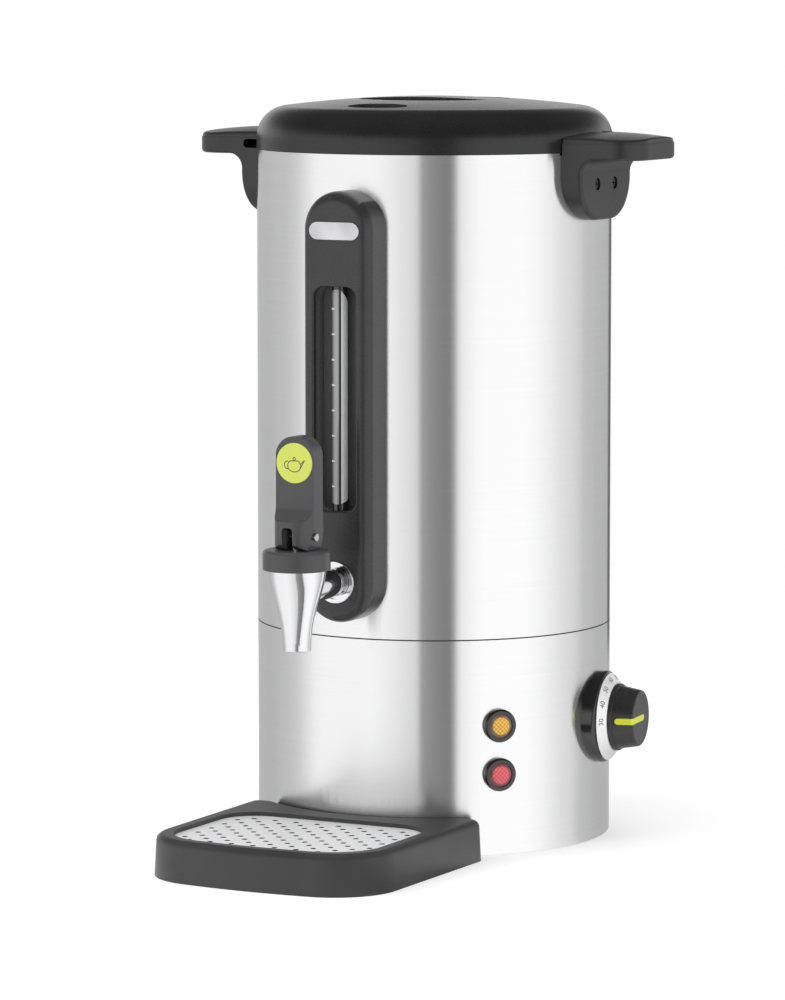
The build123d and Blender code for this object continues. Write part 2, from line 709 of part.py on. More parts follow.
def thermostat():
    back = THERMO_FACE - THERMO_D
    case = KNOB_PLANE * Pos(0, 0, (THERMO_FACE + back) / 2) * Box(THERMO_W, THERMO_H, THERMO_D)
    body = fillet(case.edges().filter_by(Axis.Z), THERMO_CORNER)
    body += stub(KNOB_PLANE, THERMO_NECK_R, THERMO_FACE, BODY_R + THERMO_NECK_PROUD)
    inside = disc(BORE_R, KNOB_Z - THERMO_H, KNOB_Z + THERMO_H)
    for plane in thermostat_screw_planes():
        body += stub(plane, THERMO_BOSS_R, THERMO_FACE, BODY_R) & inside
        body -= stub(plane, SCREW_R, THERMO_FACE - THREAD_DEPTH, BODY_R + PAST)
    for offset in (-TAB_HALF, TAB_HALF):
        body += KNOB_PLANE * Pos(offset, TAB_RAISE, back - TAB_L / 2) * Box(TAB_W, TAB_T, TAB_L)
    return body - stub(KNOB_PLANE, SHAFT_R + RUN_GAP, THERMO_FACE - SHAFT_DEPTH, BODY_R + FAR)


def thermostat_screws():
    screws = []
    for plane in thermostat_screw_planes():
        head = stub(plane, SCREW_HEAD_R, BODY_R, BODY_R + SCREW_HEAD_T)
        screws.append(head + stub(plane, SCREW_R, THERMO_FACE - THREAD_DEPTH, BODY_R))
    return Compound(screws)


def thermostat_shaft():
    shaft = stub(KNOB_PLANE, SHAFT_R, THERMO_FACE - SHAFT_DEPTH + SHAFT_CLEAR, SHAFT_END)
    flat = KNOB_PLANE * Pos(0, SHAFT_FLAT + SHAFT_R, SHAFT_END)
    return shaft - flat * Box(4 * SHAFT_R, 2 * SHAFT_R, 2 * (SHAFT_END - BEZEL_FRONT))


def capillary_sensor():
    z = DIFFUSER_LOW - BULB_R
    under = ELEMENT_Z - ELEMENT_R - CAPILLARY_DROP
    end = capillary_place().position
    bulb = Pos(0, 0, z) * Rot(0, 90, 0) * Cylinder(BULB_R, BULB_L)
    turn_x = BULB_L / 2 + CAPILLARY_RUN
    points = [(BULB_L / 2 - PAST, 0, z), (turn_x, 0, z), (turn_x, 0, under), (end.X, end.Y, under),
              (end.X, end.Y, KNOB_Z + THERMO_H / 2)]
    return bulb + lead(points, CAPILLARY_R, CAPILLARY_BEND)


def dial_bezel():
    ring = stub(KNOB_PLANE, BEZEL_R, BODY_R - 2 * FAR, BEZEL_FRONT)
    edge = ring.edges().filter_by(GeomType.CIRCLE).sort_by_distance(KNOB_PLANE.origin)[-1]
    ring = fillet(edge, BEZEL_EDGE)
    ring -= disc(BODY_R, KNOB_Z - 2 * BEZEL_R, KNOB_Z + 2 * BEZEL_R)
    ring -= stub(KNOB_PLANE, THERMO_NECK_R + HOLE_GAP, BORE_R, BEZEL_FRONT + PAST)
    for plane in thermostat_screw_planes():
        ring -= stub(plane, SCREW_HEAD_R + HOLE_GAP, BORE_R, BODY_R + SCREW_HEAD_T + FACE_GAP)
    return ring


def dial_ring():
    base = BEZEL_FRONT
    well = DIAL_FRONT - DIAL_WELL
    hole_r = SHAFT_R + DIAL_HOLE_GAP
    profile = [(BEZEL_R - BEZEL_EDGE - DIAL_STEP, base), (DIAL_R - DIAL_RIM, base + DIAL_LIP),
               (DIAL_TOP_R, DIAL_FRONT), (DIAL_TOP_R - DIAL_RIM, DIAL_FRONT), (DIAL_TOP_R - DIAL_RIM, well),
               (hole_r, well), (hole_r, base)]
    local = make_face(Polyline(*profile, close=True))
    return KNOB_PLANE * revolve(Plane.XZ * local, Axis.Z)


def knob_cone(inset=0.0):
    """The knob's conical grip, or one that lies inset inside it, in the knob's own frame."""
    height = KNOB_FRONT - KNOB_LOW
    grip = Pos(0, 0, KNOB_LOW + height / 2 - inset) * Cone(KNOB_R - inset, KNOB_TOP_R - inset, height)
    return fillet(grip.edges().group_by(Axis.Z)[-1], KNOB_EDGE)


def pointer_inlay():
    """The pointer, on the side and the face of the knob, in the knob's own frame."""
    low = KNOB_LOW + KNOB_SKIRT_T + POINTER_START
    length = POINTER_PAST + KNOB_R + POINTER_W
    rise = KNOB_FRONT + FAR - low
    flat = Pos(POINTER_PAST - length / 2, 0, low) * extrude(SlotOverall(length, POINTER_W), rise)
    side = Pos(low + rise / 2, 0) * SlotOverall(rise, POINTER_W)
    side = Plane(origin=(-KNOB_R, 0, 0), x_dir=(0, 0, 1), z_dir=(1, 0, 0)) * side
    return (knob_cone() - knob_cone(POINTER_T)) & flat & extrude(side, 2 * KNOB_R)


def control_knob():
    skirt = disc(KNOB_SKIRT_R, KNOB_LOW, KNOB_LOW + KNOB_SKIRT_T)
    skirt = fillet(skirt.edges().group_by(Axis.Z)[-1], KNOB_SKIRT_EDGE)
    knob = skirt + knob_cone()
    knob -= tube(KNOB_TOP_R - KNOB_HOLLOW_WALL, KNOB_HUB_R, KNOB_LOW, KNOB_LOW + KNOB_HOLLOW_H)
    knob -= disc(KNOB_TOP_R - KNOB_HOLLOW_WALL, KNOB_LOW - PAST, KNOB_LOW)
    knob += disc(KNOB_HUB_R, KNOB_BACK, KNOB_LOW + PAST)
    knob -= disc(SHAFT_R, KNOB_BACK - PAST, SHAFT_END)
    return KNOB_PLANE * (knob - pointer_inlay())


def knob_pointer():
    return KNOB_PLANE * pointer_inlay()


# Lamps

def lamp_bezels():
    bezels = []
    for z in LAMP_ZS:
        plane = radial_plane(LAMP_AZIMUTH, 0, z)
        ring = stub(plane, LAMP_BEZEL_R, BORE_R - FAR, LAMP_BEZEL_FRONT)
        edge = ring.edges().filter_by(GeomType.CIRCLE).sort_by_distance(Vector(0, 0, z))[-1]
        ring = fillet(edge, LAMP_BEZEL_EDGE)
        ring -= stub(plane, LAMP_WINDOW_R, LAMP_SEAT_R, LAMP_BEZEL_FRONT + PAST)
        ring -= stub(plane, LAMP_BODY_R, BORE_R - FAR, LAMP_BEZEL_FRONT + PAST)
        ring -= disc(BODY_R, z - 2 * LAMP_BEZEL_R, z + 2 * LAMP_BEZEL_R)
        bezels.append(ring)
    return Compound(bezels)


def lamp_lens(z):
    apex = LAMP_BEZEL_FRONT - LENS_SINK + LENS_RISE
    radius = LAMP_WINDOW_R - LENS_GAP
    dome_r = (radius ** 2 + LENS_RISE ** 2) / (2 * LENS_RISE)
    rod = disc(radius, LAMP_SEAT_R, apex)
    cap = Pos(0, 0, apex - dome_r) * Sphere(dome_r)
    return radial_plane(LAMP_AZIMUTH, 0, z) * (rod & cap)


def lamp_lens_red():
    return lamp_lens(LAMP_ZS[0])


def lamp_lens_amber():
    return lamp_lens(LAMP_ZS[1])


def lamp_housings():
    back = LAMP_SEAT_R - LAMP_BODY_L
    housing = disc(LAMP_BODY_R, back, LAMP_SEAT_R)
    for side in (-1, 1):
        housing += Pos(0, side * LAMP_PIN_HALF, 0) * disc(LAMP_PIN_R, back - LAMP_PIN_L, back)
    return Compound([radial_plane(LAMP_AZIMUTH, 0, z) * housing for z in LAMP_ZS])


def lamp_clips():
    clips = []
    for z in LAMP_ZS:
        plane = radial_plane(LAMP_AZIMUTH, 0, z)
        ring = stub(plane, LAMP_CLIP_R, BORE_R - LAMP_CLIP_T - LAMP_CLIP_GAP, BODY_R)
        ring = ring & disc(BORE_R, z - 2 * LAMP_CLIP_R, z + 2 * LAMP_CLIP_R)
        clips.append(ring - wall_hole(plane, LAMP_BODY_R))
    return Compound(clips)


# Electrics

def thermal_cutout():
    place = Pos(CUTOUT_X, CUTOUT_Y, 0)
    top = PAN_TOP + CUTOUT_H
    case = place * Pos(0, 0, PAN_TOP + CUTOUT_H / 2) * Box(CUTOUT_L, CUTOUT_W, CUTOUT_H)
    body = fillet(case.edges().filter_by(Axis.Z), CUTOUT_CORNER)
    body += place * disc(COLLAR_R, PAN_Z - COLLAR_H, PAN_Z)
    body += place * disc(BUTTON_R + 2 * HOLE_GAP, PAN_Z - COLLAR_H, PAN_TOP)
    body -= place * disc(BUTTON_R + RUN_GAP, PAN_Z - COLLAR_H - PAST, PAN_TOP + CUTOUT_WALL + PAST)
    body -= place * disc(BUTTON_FLANGE_R + HOLE_GAP, PAN_TOP + CUTOUT_WALL, PAN_TOP + BUTTON_WELL_H)
    for offset in (-TAB_HALF, TAB_HALF):
        body += place * Pos(offset, 0, top + TAB_L / 2) * Box(TAB_T, TAB_W, TAB_L)
    return body


def reset_button():
    low = PAN_Z - COLLAR_H - BUTTON_PROUD + BUTTON_TRAVEL
    flange_low = PAN_TOP + CUTOUT_WALL + FACE_GAP
    body = disc(BUTTON_R, low, flange_low)
    body = fillet(body.edges().group_by(Axis.Z)[0], BUTTON_EDGE)
    body += disc(BUTTON_FLANGE_R, flange_low, flange_low + BUTTON_FLANGE_T)
    body += disc(BUTTON_TIP_R, flange_low, flange_low + BUTTON_TIP_L)
    return Pos(CUTOUT_X, CUTOUT_Y, 0) * body


def block_way_x(way):
    """The terminal block's ways lie side by side along X, counted from 0."""
    return BLOCK_X + (way - (BLOCK_WAYS - 1) / 2) * BLOCK_L / BLOCK_WAYS


def terminal_block():
    top = PAN_TOP + BLOCK_H
    middle = PAN_TOP + BLOCK_H / 2
    case = Pos(BLOCK_X, BLOCK_Y, middle) * Box(BLOCK_L, BLOCK_W, BLOCK_H)
    for way in range(BLOCK_WAYS):
        place = Pos(block_way_x(way), BLOCK_Y, 0)
        case -= place * disc(BLOCK_SCREW_R, top - BLOCK_SCREW_DEPTH, top + PAST)
        case -= place * Pos(0, 0, middle) * Rot(90, 0, 0) * Cylinder(BLOCK_WIRE_R, BLOCK_W + 2 * PAST)
    return case


def earth_stud():
    low = PAN_Z - EARTH_HEAD_H
    stud = disc(EARTH_R, low, low + EARTH_L)
    stud += Pos(0, 0, low) * hexagon(EARTH_NUT_FLATS, EARTH_HEAD_H)
    stud += Pos(0, 0, PAN_TOP) * hexagon(EARTH_NUT_FLATS, EARTH_NUT_H)
    return Pos(EARTH_X, EARTH_Y, 0) * stud


def cable_gland():
    inner_end = BORE_R - GLAND_REACH
    cap_start = BODY_R + GLAND_FLANGE_T
    body = disc(GLAND_R, inner_end, BODY_R + PAST)
    body += Pos(0, 0, BODY_R) * hexagon(GLAND_FLATS, GLAND_FLANGE_T)
    cap = disc(GLAND_CAP_R, cap_start, BODY_R + GLAND_CAP_L)
    body += fillet(cap.edges().group_by(Axis.Z)[-1], GLAND_CAP_EDGE)
    body -= disc(GLAND_BORE_R, inner_end - PAST, BODY_R + GLAND_CAP_L + PAST)
    return GLAND_PLANE * body


def gland_nut():
    reach = BORE_R - sagitta(BORE_R, GLAND_FLATS / sqrt(3))
    nut = Pos(0, 0, reach - GLAND_NUT_H) * hexagon(GLAND_FLATS, GLAND_NUT_H)
    return GLAND_PLANE * (nut - disc(GLAND_R, reach - GLAND_NUT_H - PAST, reach + PAST))


def element_leads():
    """Two insulated leads from the terminal block up to the element's cold ends."""
    start_z = PAN_TOP + BLOCK_H / 2
    start_y = BLOCK_Y - BLOCK_W / 2
    rise_z = (ELEMENT_TAIL_Z + PAN_TOP + BLOCK_H) / 2
    wires = []
    for way, place in zip((0, BLOCK_WAYS - 1), element_end_places()):
        end = place.position
        x = block_way_x(way)
        turn_y = start_y - LEAD_RUN
        points = [(x, start_y, start_z), (x, turn_y, start_z), (x, turn_y, rise_z),
                  (end.X, end.Y, rise_z), (end.X, end.Y, ELEMENT_TAIL_Z)]
        wires.append(lead(points, LEAD_R, LEAD_BEND))
    return Compound(wires)


# Handles

def handle_screw_planes(sides=(90, 270)):
    return [radial_plane(side) * Pos(half * SCREW_HALF, SCREW_Z, 0) for side in sides for half in (-1, 1)]


def handle_right():
    """The right-hand handle; the left one is the same moulding turned half round."""
    inside = BODY_R - 3 * FAR
    plan = block(inside, HANDLE_TIP, -HANDLE_HALF, HANDLE_HALF, LEG_LOW, HANDLE_TOP)
    outer_corners = plan.edges().filter_by(Axis.Z).group_by(Axis.X)[-1]
    plan = fillet(outer_corners, HANDLE_CORNER)
    side = make_face(Polyline((inside, LEG_LOW), (LEG_FACE, LEG_LOW), (LEG_FACE, HANDLE_LOW),
                              (HANDLE_TIP, HANDLE_LOW), (HANDLE_TIP, HANDLE_EDGE_Z),
                              (inside, HANDLE_EDGE_Z), close=True))
    inner_corner = side.vertices().sort_by_distance(Vector(LEG_FACE, HANDLE_LOW, 0))[0]
    side = fillet(inner_corner, LEG_FILLET)
    slab = extrude(Plane.XZ * side, HANDLE_HALF, both=True)
    face = make_face(Polyline((-HANDLE_HALF, LEG_LOW), (HANDLE_HALF, LEG_LOW),
                              (HANDLE_HALF, HANDLE_TOP), (-HANDLE_HALF, HANDLE_TOP), close=True))
    face = fillet(face.vertices().group_by(Axis.Y)[0], LEG_CORNER)
    outline = extrude(Plane.YZ * face, HANDLE_TIP + FAR)
    handle = slab & plan & outline
    rim = [e for e in handle.edges()
           if abs(e.center().X - LEG_FACE) < RUN_GAP and e.center().Z < HANDLE_LOW - LEG_EDGE]
    handle = fillet(rim, LEG_EDGE) + handle_cap(inside)
    handle -= disc(BODY_R, LEG_LOW - FAR, TANK_TOP)
    handle -= disc(LID_R + 2 * FACE_GAP, TANK_TOP - LID_RECESS, HANDLE_TOP + FAR)
    handle -= lug_slot()
    for plane in handle_screw_planes((90,)):
        handle -= stub(plane, SCREW_R + HOLE_GAP, inside - PAST, LEG_FACE + PAST)
        handle -= stub(plane, SCREW_HEAD_R + HOLE_GAP, LEG_FACE - SCREW_SINK - SCREW_HEAD_T, LEG_FACE + PAST)
    return handle


def handle_cap(inside):
    """The domed top of the grip, a crease's width smaller than the plate that it stands on."""
    cap = block(inside, HANDLE_TIP - HANDLE_CREASE, HANDLE_CREASE - HANDLE_HALF,
                HANDLE_HALF - HANDLE_CREASE, HANDLE_EDGE_Z, HANDLE_TOP)
    cap = fillet(cap.edges().filter_by(Axis.Z).group_by(Axis.X)[-1], HANDLE_CORNER - HANDLE_CREASE)
    cap = cap & handle_dome(inside)
    dome_rim = [e for e in cap.edges() if e.center().X > inside + PAST and e.center().Z > HANDLE_EDGE_Z + PAST
                and abs(e.tangent_at(0.5).Z) < 0.5]
    return fillet(dome_rim, HANDLE_CAP_EDGE)


def handle_dome(inside):
    """A solid with the arched top of the grip: an arch across the handle, carried along a flatter one."""
    across_r = HANDLE_HALF ** 2 / (2 * HANDLE_FALL)
    along_r = HANDLE_REACH ** 2 / (2 * HANDLE_FALL)
    half = HANDLE_HALF + FAR
    low = HANDLE_EDGE_Z - FAR
    shoulder = HANDLE_TOP - sagitta(across_r, half)
    arch = ThreePointArc((-half, shoulder), (0, HANDLE_TOP), (half, shoulder))
    rest = Polyline(arch @ 1, (half, low), (-half, low), arch @ 0)
    profile = Plane.YZ.offset(BODY_R) * make_face(Curve() + [arch, rest])
    hinge = Axis((BODY_R, 0, HANDLE_TOP - along_r), (0, 1, 0))
    back = degrees(asin((BODY_R - inside + FAR) / along_r))
    ahead = degrees(asin((HANDLE_REACH + FAR) / along_r))
    return revolve(profile.rotate(hinge, -back), hinge, back + ahead)


def lug_slot():
    """Bayonet slot for the lid's lug: a notch from above and a run to one side."""
    top = HANDLE_TOP + FAR
    run = disc(LID_SLOT_R, LID_SLOT_Z, LID_SLOT_Z + LID_SLOT_H)
    run = fillet(run.edges().filter_by(GeomType.CIRCLE), LID_SLOT_ROUND)
    run = run & block(0, HANDLE_TIP, -LID_SLOT_HALF, HANDLE_HALF + FAR, LID_SLOT_Z, top)
    notch = disc(LID_SLOT_R, LID_SLOT_Z, top)
    return run + (notch & block(0, HANDLE_TIP, -LID_SLOT_HALF, LID_SLOT_HALF, LID_SLOT_Z, top))


def handle_left():
    return Rot(0, 0, 180) * handle_right()


def handle_screws():
    head_front = LEG_FACE - SCREW_SINK
    head_back = head_front - SCREW_HEAD_T
    head = disc(SCREW_HEAD_R, head_back, head_front)
    head = fillet(head.edges().group_by(Axis.Z)[-1], SCREW_EDGE)
    arm = Box(CROSS_L, CROSS_W, 2 * CROSS_DEPTH)
    cross = Pos(0, 0, head_front) * (arm + Rot(0, 0, 90) * arm)
    screw = head - cross + disc(SCREW_R, BORE_R - NUT_PLATE_T - SCREW_TAIL, head_back)
    return Compound([plane * screw for plane in handle_screw_planes()])


def handle_nut_plates():
    low = SCREW_Z - NUT_PLATE_H / 2
    high = SCREW_Z + NUT_PLATE_H / 2
    curve = tube(BORE_R, BORE_R - NUT_PLATE_T, low, high)
    plates = []
    for azimuth in (90, 270):
        reach = Pos(0, SCREW_Z, BODY_R) * Box(2 * NUT_PLATE_HALF, NUT_PLATE_H, BODY_R)
        plate = curve & radial_plane(azimuth) * reach
        for plane in handle_screw_planes((azimuth,)):
            plate -= wall_hole(plane, SCREW_R)
        plates.append(plate)
    return Compound(plates)


# Lid

def lid_form(inset=0.0):
    """The lid's domed outer form, or one that lies inset inside it, closed at the bottom."""
    radius = LID_R - inset
    apex = LID_APEX - inset
    low = LID_LOW if inset == 0 else LID_LOW - FAR
    dome_r = LID_DOME_R - inset
    form = disc(radius, low, apex) & Pos(0, 0, apex - dome_r) * Sphere(dome_r)
    shoulder_z = apex - sagitta(dome_r, radius)
    shoulder = [e for e in form.edges().filter_by(GeomType.CIRCLE)
                if abs(e.center().Z - shoulder_z) < RUN_GAP]
    return fillet(shoulder, LID_CORNER - inset)


def vent_oval(grow=0.0):
    return Pos(0, VENT_Y) * Ellipse(VENT_L / 2 + grow, VENT_W / 2 + grow)


def lid_cover():
    form = lid_form()
    cover = form - lid_form(LID_WALL)
    cover += disc(GRIP_R + LID_WALL, GRIP_FLOOR_LOW, LID_APEX) & form
    cover -= disc(GRIP_R, GRIP_FLOOR, LID_APEX + PAST)
    bar_low = LID_APEX - GRIP_BAR_T
    bar = block(-GRIP_R - PAST, GRIP_R + PAST, -GRIP_BAR_HALF, GRIP_BAR_HALF, bar_low, LID_APEX + PAST)
    bar = fillet(bar.edges().filter_by(Axis.X).group_by(Axis.Z)[0], GRIP_BAR_EDGE)
    cover += bar & form & disc(GRIP_R + RUN_GAP, bar_low - PAST, LID_APEX + PAST)
    chimney = Pos(0, 0, LID_APEX - VENT_DEPTH) * extrude(vent_oval(VENT_WALL), VENT_DEPTH)
    cover += chimney & form
    cover -= Pos(0, 0, LID_LOW) * extrude(vent_oval(), LID_H + PAST)
    cover -= disc(STUD_R + RUN_GAP, GRIP_FLOOR_LOW - PAST, GRIP_FLOOR + PAST)
    lug_low = LID_SLOT_Z + LUG_GAP
    for sign in (-1, 1):
        x_low, x_high = sorted((sign * (LID_R - LID_WALL / 2), sign * LUG_R))
        cover += block(x_low, x_high, -LUG_W / 2, LUG_W / 2, lug_low, lug_low + LUG_T)
    return cover


def lid_inner_plate():
    outer = GASKET_R - GASKET_W
    plate = disc(outer, INNER_Z, INNER_Z + INNER_T)
    plate += tube(outer, outer - INNER_T, INNER_Z, INNER_Z + GASKET_H)
    plate -= disc(STUD_R, INNER_Z - PAST, INNER_Z + INNER_T + PAST)
    return plate - Pos(0, 0, INNER_Z - PAST) * extrude(vent_oval(-VENT_INSET), INNER_T + 2 * PAST)


def lid_gasket():
    ring = tube(GASKET_R, GASKET_R - GASKET_W, INNER_Z, INNER_Z + GASKET_H)
    outer = ring.edges().filter_by(GeomType.CIRCLE).sort_by(SortBy.RADIUS)[-2:]
    return fillet(outer, GASKET_EDGE)


def lid_pivot_stud():
    rivet_low = INNER_Z - STUD_RIVET_T
    head_low = GRIP_FLOOR + RUN_GAP
    stud = disc(STUD_R, rivet_low, head_low)
    stud += disc(STUD_SHOULDER_R, INNER_Z + INNER_T, GRIP_FLOOR_LOW - RUN_GAP)
    stud += disc(STUD_SHOULDER_R, rivet_low, INNER_Z)
    head = disc(STUD_HEAD_R, head_low, head_low + STUD_HEAD_T)
    return stud + fillet(head.edges().group_by(Axis.Z)[-1], STUD_EDGE)


# Front panel and gauge

def upright_slot(height, width, low_z):
    """Stadium outline standing on low_z, in the front plane."""
    return Pos(0, low_z + height / 2) * SlotOverall(height, width, rotation=90)


def window_outline(grow=0.0):
    height = WINDOW_TOP - WINDOW_LOW + 2 * grow
    middle = (WINDOW_TOP + WINDOW_LOW) / 2
    return Pos(0, middle) * RectangleRounded(2 * (WINDOW_HALF + grow), height, WINDOW_CORNER + grow)


def front_bar(outline, start, end):
    """An outline in the front plane, as a bar from start to end in front of the axis."""
    return FRONT_PLANE * (Pos(0, 0, start) * extrude(outline, end - start))


def upright(radius, y, low, high):
    return Pos(0, y, 0) * disc(radius, low, high)


def front_panel():
    back = BODY_R - 2 * FAR
    hollow_front = PANEL_FRONT - PANEL_WALL
    panel = front_bar(upright_slot(PANEL_H, 2 * PANEL_HALF, PANEL_LOW), back, PANEL_FRONT)
    panel = fillet(panel.faces().sort_by(Axis.Y)[0].edges(), PANEL_EDGE)
    inner = upright_slot(PANEL_H - 2 * PANEL_WALL, 2 * (PANEL_HALF - PANEL_WALL), PANEL_LOW + PANEL_WALL)
    hollow = front_bar(inner, back - PAST, hollow_front)
    panel -= fillet(hollow.faces().sort_by(Axis.Y)[0].edges(), PANEL_EDGE - PANEL_WALL)
    panel += front_bar(window_outline(TUB_WALL), TUB_BACK, hollow_front + PANEL_WALL / 2)
    panel += stub(TAP_PLANE, RING_R + RING_BOSS_WALL, BODY_R - FAR, hollow_front)
    panel += stub(PANEL_SCREW_PLANE, PANEL_BOSS_R, BODY_R - FAR, hollow_front)
    panel -= front_bar(window_outline(), TUB_BACK + TUB_WALL, PANEL_FRONT + PAST)
    window_rim = [e for e in panel.faces().sort_by(Axis.Y)[0].edges()
                  if abs(e.center().X) < WINDOW_HALF + PAST
                  and WINDOW_LOW - PAST < e.center().Z < WINDOW_TOP + PAST]
    panel = fillet(window_rim, WINDOW_EDGE)
    panel -= gauge_room()
    panel -= disc(BODY_R, PANEL_LOW - FAR, PANEL_TOP + FAR)
    panel -= stub(TAP_PLANE, SHANK_SEAL_R + HOLE_GAP, BODY_R - FAR, BODY_R + SHANK_SEAL_T)
    panel -= stub(TAP_PLANE, SHANK_R + HOLE_GAP, BODY_R - FAR, PANEL_FRONT + PAST)
    panel -= stub(TAP_PLANE, RING_R + HOLE_GAP, RING_BACK, PANEL_FRONT + PAST)
    panel -= stub(PANEL_SCREW_PLANE, PANEL_SCREW_R, BODY_R - FAR, PANEL_SCREW_END + PAST)
    return panel - name_plate(HOLE_GAP)


def gauge_room():
    """Room in the panel for the tube and its two fittings."""
    radius = ELBOW_R + HOLE_GAP
    end = ELBOW_END + PAST
    room = upright(GAUGE_R + HOLE_GAP, GAUGE_Y, ELBOW_LOW_Z, ELBOW_TOP_Z)
    room += upright(radius, GAUGE_Y, ELBOW_LOW_Z - end, WINDOW_LOW - TUB_WALL - PAST)
    return room + upright(radius, GAUGE_Y, WINDOW_TOP + TUB_WALL + PAST, ELBOW_TOP_Z + end)


def name_plate(grow=0.0):
    pill = Pos(0, PLATE_Z) * SlotOverall(PLATE_L + 2 * grow, PLATE_H + 2 * grow)
    front = PANEL_FRONT + PLATE_PROUD
    return front_bar(pill, front - PLATE_T, front + grow)


def nameplate():
    plate = name_plate()
    return fillet(plate.faces().sort_by(Axis.Y)[0].edges(), PLATE_EDGE)


def panel_screw():
    face = BORE_R - sagitta(BORE_R, PANEL_SCREW_HEAD_R)
    head = stub(PANEL_SCREW_PLANE, PANEL_SCREW_HEAD_R, face - PANEL_SCREW_HEAD_T, face)
    return head + stub(PANEL_SCREW_PLANE, PANEL_SCREW_R, face, PANEL_SCREW_END)


def gauge_tube():
    low = ELBOW_LOW_Z + GAUGE_SEAL_T
    high = ELBOW_TOP_Z - GAUGE_SEAL_T
    return upright(GAUGE_R, GAUGE_Y, low, high) - upright(GAUGE_BORE_R, GAUGE_Y, low - PAST, high + PAST)


def gauge_elbow(z, up):
    """One end fitting: a neck through the tank wall and a socket that faces up (1) or down (-1)."""
    neck_end = BORE_R - ELBOW_NECK_L
    mouth = z + up * ELBOW_DEPTH
    low, high = sorted((z - up * ELBOW_END, mouth))
    body = upright(ELBOW_R, GAUGE_Y, low, high)
    body += stub(radial_plane(0, 0, z), ELBOW_NECK_R, neck_end, -GAUGE_Y)
    body -= upright(GAUGE_R + RUN_GAP, GAUGE_Y, *sorted((z, mouth + up * PAST)))
    body -= upright(ELBOW_BORE_R, GAUGE_Y, *sorted((z - up * (ELBOW_END - ELBOW_END_WALL), z + up * PAST)))
    port = radial_plane(0, 0, z - up * ELBOW_PORT_OFF)
    return body - stub(port, ELBOW_PORT_R, neck_end - PAST, -GAUGE_Y)


def gauge_elbows():
    return Compound([gauge_elbow(ELBOW_LOW_Z, 1), gauge_elbow(ELBOW_TOP_Z, -1)])


def gauge_seals():
    low = upright(GAUGE_R, GAUGE_Y, ELBOW_LOW_Z, ELBOW_LOW_Z + GAUGE_SEAL_T)
    high = upright(GAUGE_R, GAUGE_Y, ELBOW_TOP_Z - GAUGE_SEAL_T, ELBOW_TOP_Z)
    bore = upright(GAUGE_BORE_R, GAUGE_Y, ELBOW_LOW_Z - PAST, ELBOW_TOP_Z + PAST)
    return Compound([low - bore, high - bore])


def gauge_nuts():
    face = BORE_R - sagitta(BORE_R, ELBOW_NUT_FLATS / sqrt(3))
    nut = Pos(0, 0, face - ELBOW_NUT_H) * hexagon(ELBOW_NUT_FLATS, ELBOW_NUT_H)
    nut -= disc(ELBOW_NECK_R, face - ELBOW_NUT_H - PAST, face + PAST)
    return Compound([radial_plane(0, 0, z) * nut for z in (ELBOW_LOW_Z, ELBOW_TOP_Z)])


# Tap

def tap_shank():
    shank = stub(TAP_PLANE, SHANK_R, SHANK_INNER, SHANK_OUTER)
    return shank - stub(TAP_PLANE, SHANK_BORE_R, SHANK_INNER - PAST, SHANK_OUTER + PAST)


def shank_seal_face():
    """Where the shank's nut bears on the inner seal."""
    return BORE_R - sagitta(BORE_R, SHANK_SEAL_R) - SHANK_SEAL_T / 2


def shank_seals():
    span = (SHANK_Z - 2 * SHANK_SEAL_R, SHANK_Z + 2 * SHANK_SEAL_R)
    hole = stub(TAP_PLANE, SHANK_R, SHANK_INNER, SHANK_OUTER)
    outer = stub(TAP_PLANE, SHANK_SEAL_R, BODY_R - FAR, BODY_R + SHANK_SEAL_T) - disc(BODY_R, *span)
    inner = stub(TAP_PLANE, SHANK_SEAL_R, shank_seal_face(), BODY_R) & disc(BORE_R, *span)
    return Compound([outer - hole, inner - hole])


def shank_nut():
    nut = TAP_PLANE * Pos(0, 0, shank_seal_face() - SHANK_NUT_H) * hexagon(SHANK_NUT_FLATS, SHANK_NUT_H)
    return nut - stub(TAP_PLANE, SHANK_R, SHANK_INNER - PAST, BODY_R)


def shank_ring():
    ring = stub(TAP_PLANE, RING_R, RING_BACK, PANEL_FRONT + RING_PROUD)
    ring = fillet(ring.faces().sort_by(Axis.Y)[0].edges(), RING_EDGE)
    ring -= stub(TAP_PLANE, RING_STEP_R, PANEL_FRONT - RING_STEP, PANEL_FRONT + FAR)
    ring -= stub(TAP_PLANE, NECK_R + HOLE_GAP, PANEL_FRONT - 2 * RING_STEP, PANEL_FRONT + FAR)
    return ring - stub(TAP_PLANE, SHANK_R, RING_BACK - PAST, PANEL_FRONT + FAR)


def spout_profile():
    curve = Spline((SPOUT_R_TIP, SPOUT_LOW), (SPOUT_R_LOW, SPOUT_LOW + SPOUT_LOW_H),
                   (SPOUT_R_MID, SPOUT_LOW + SPOUT_MID_H), (SPOUT_R_SHOULDER, SPOUT_TOP - SPOUT_SHOULDER_H),
                   (SPOUT_R_TOP, SPOUT_TOP), tangents=((0, 1), (0.1, 1)))
    sides = Polyline(curve @ 1, (0, SPOUT_TOP), (0, SPOUT_LOW), curve @ 0)
    return make_face(Curve() + [curve, sides])


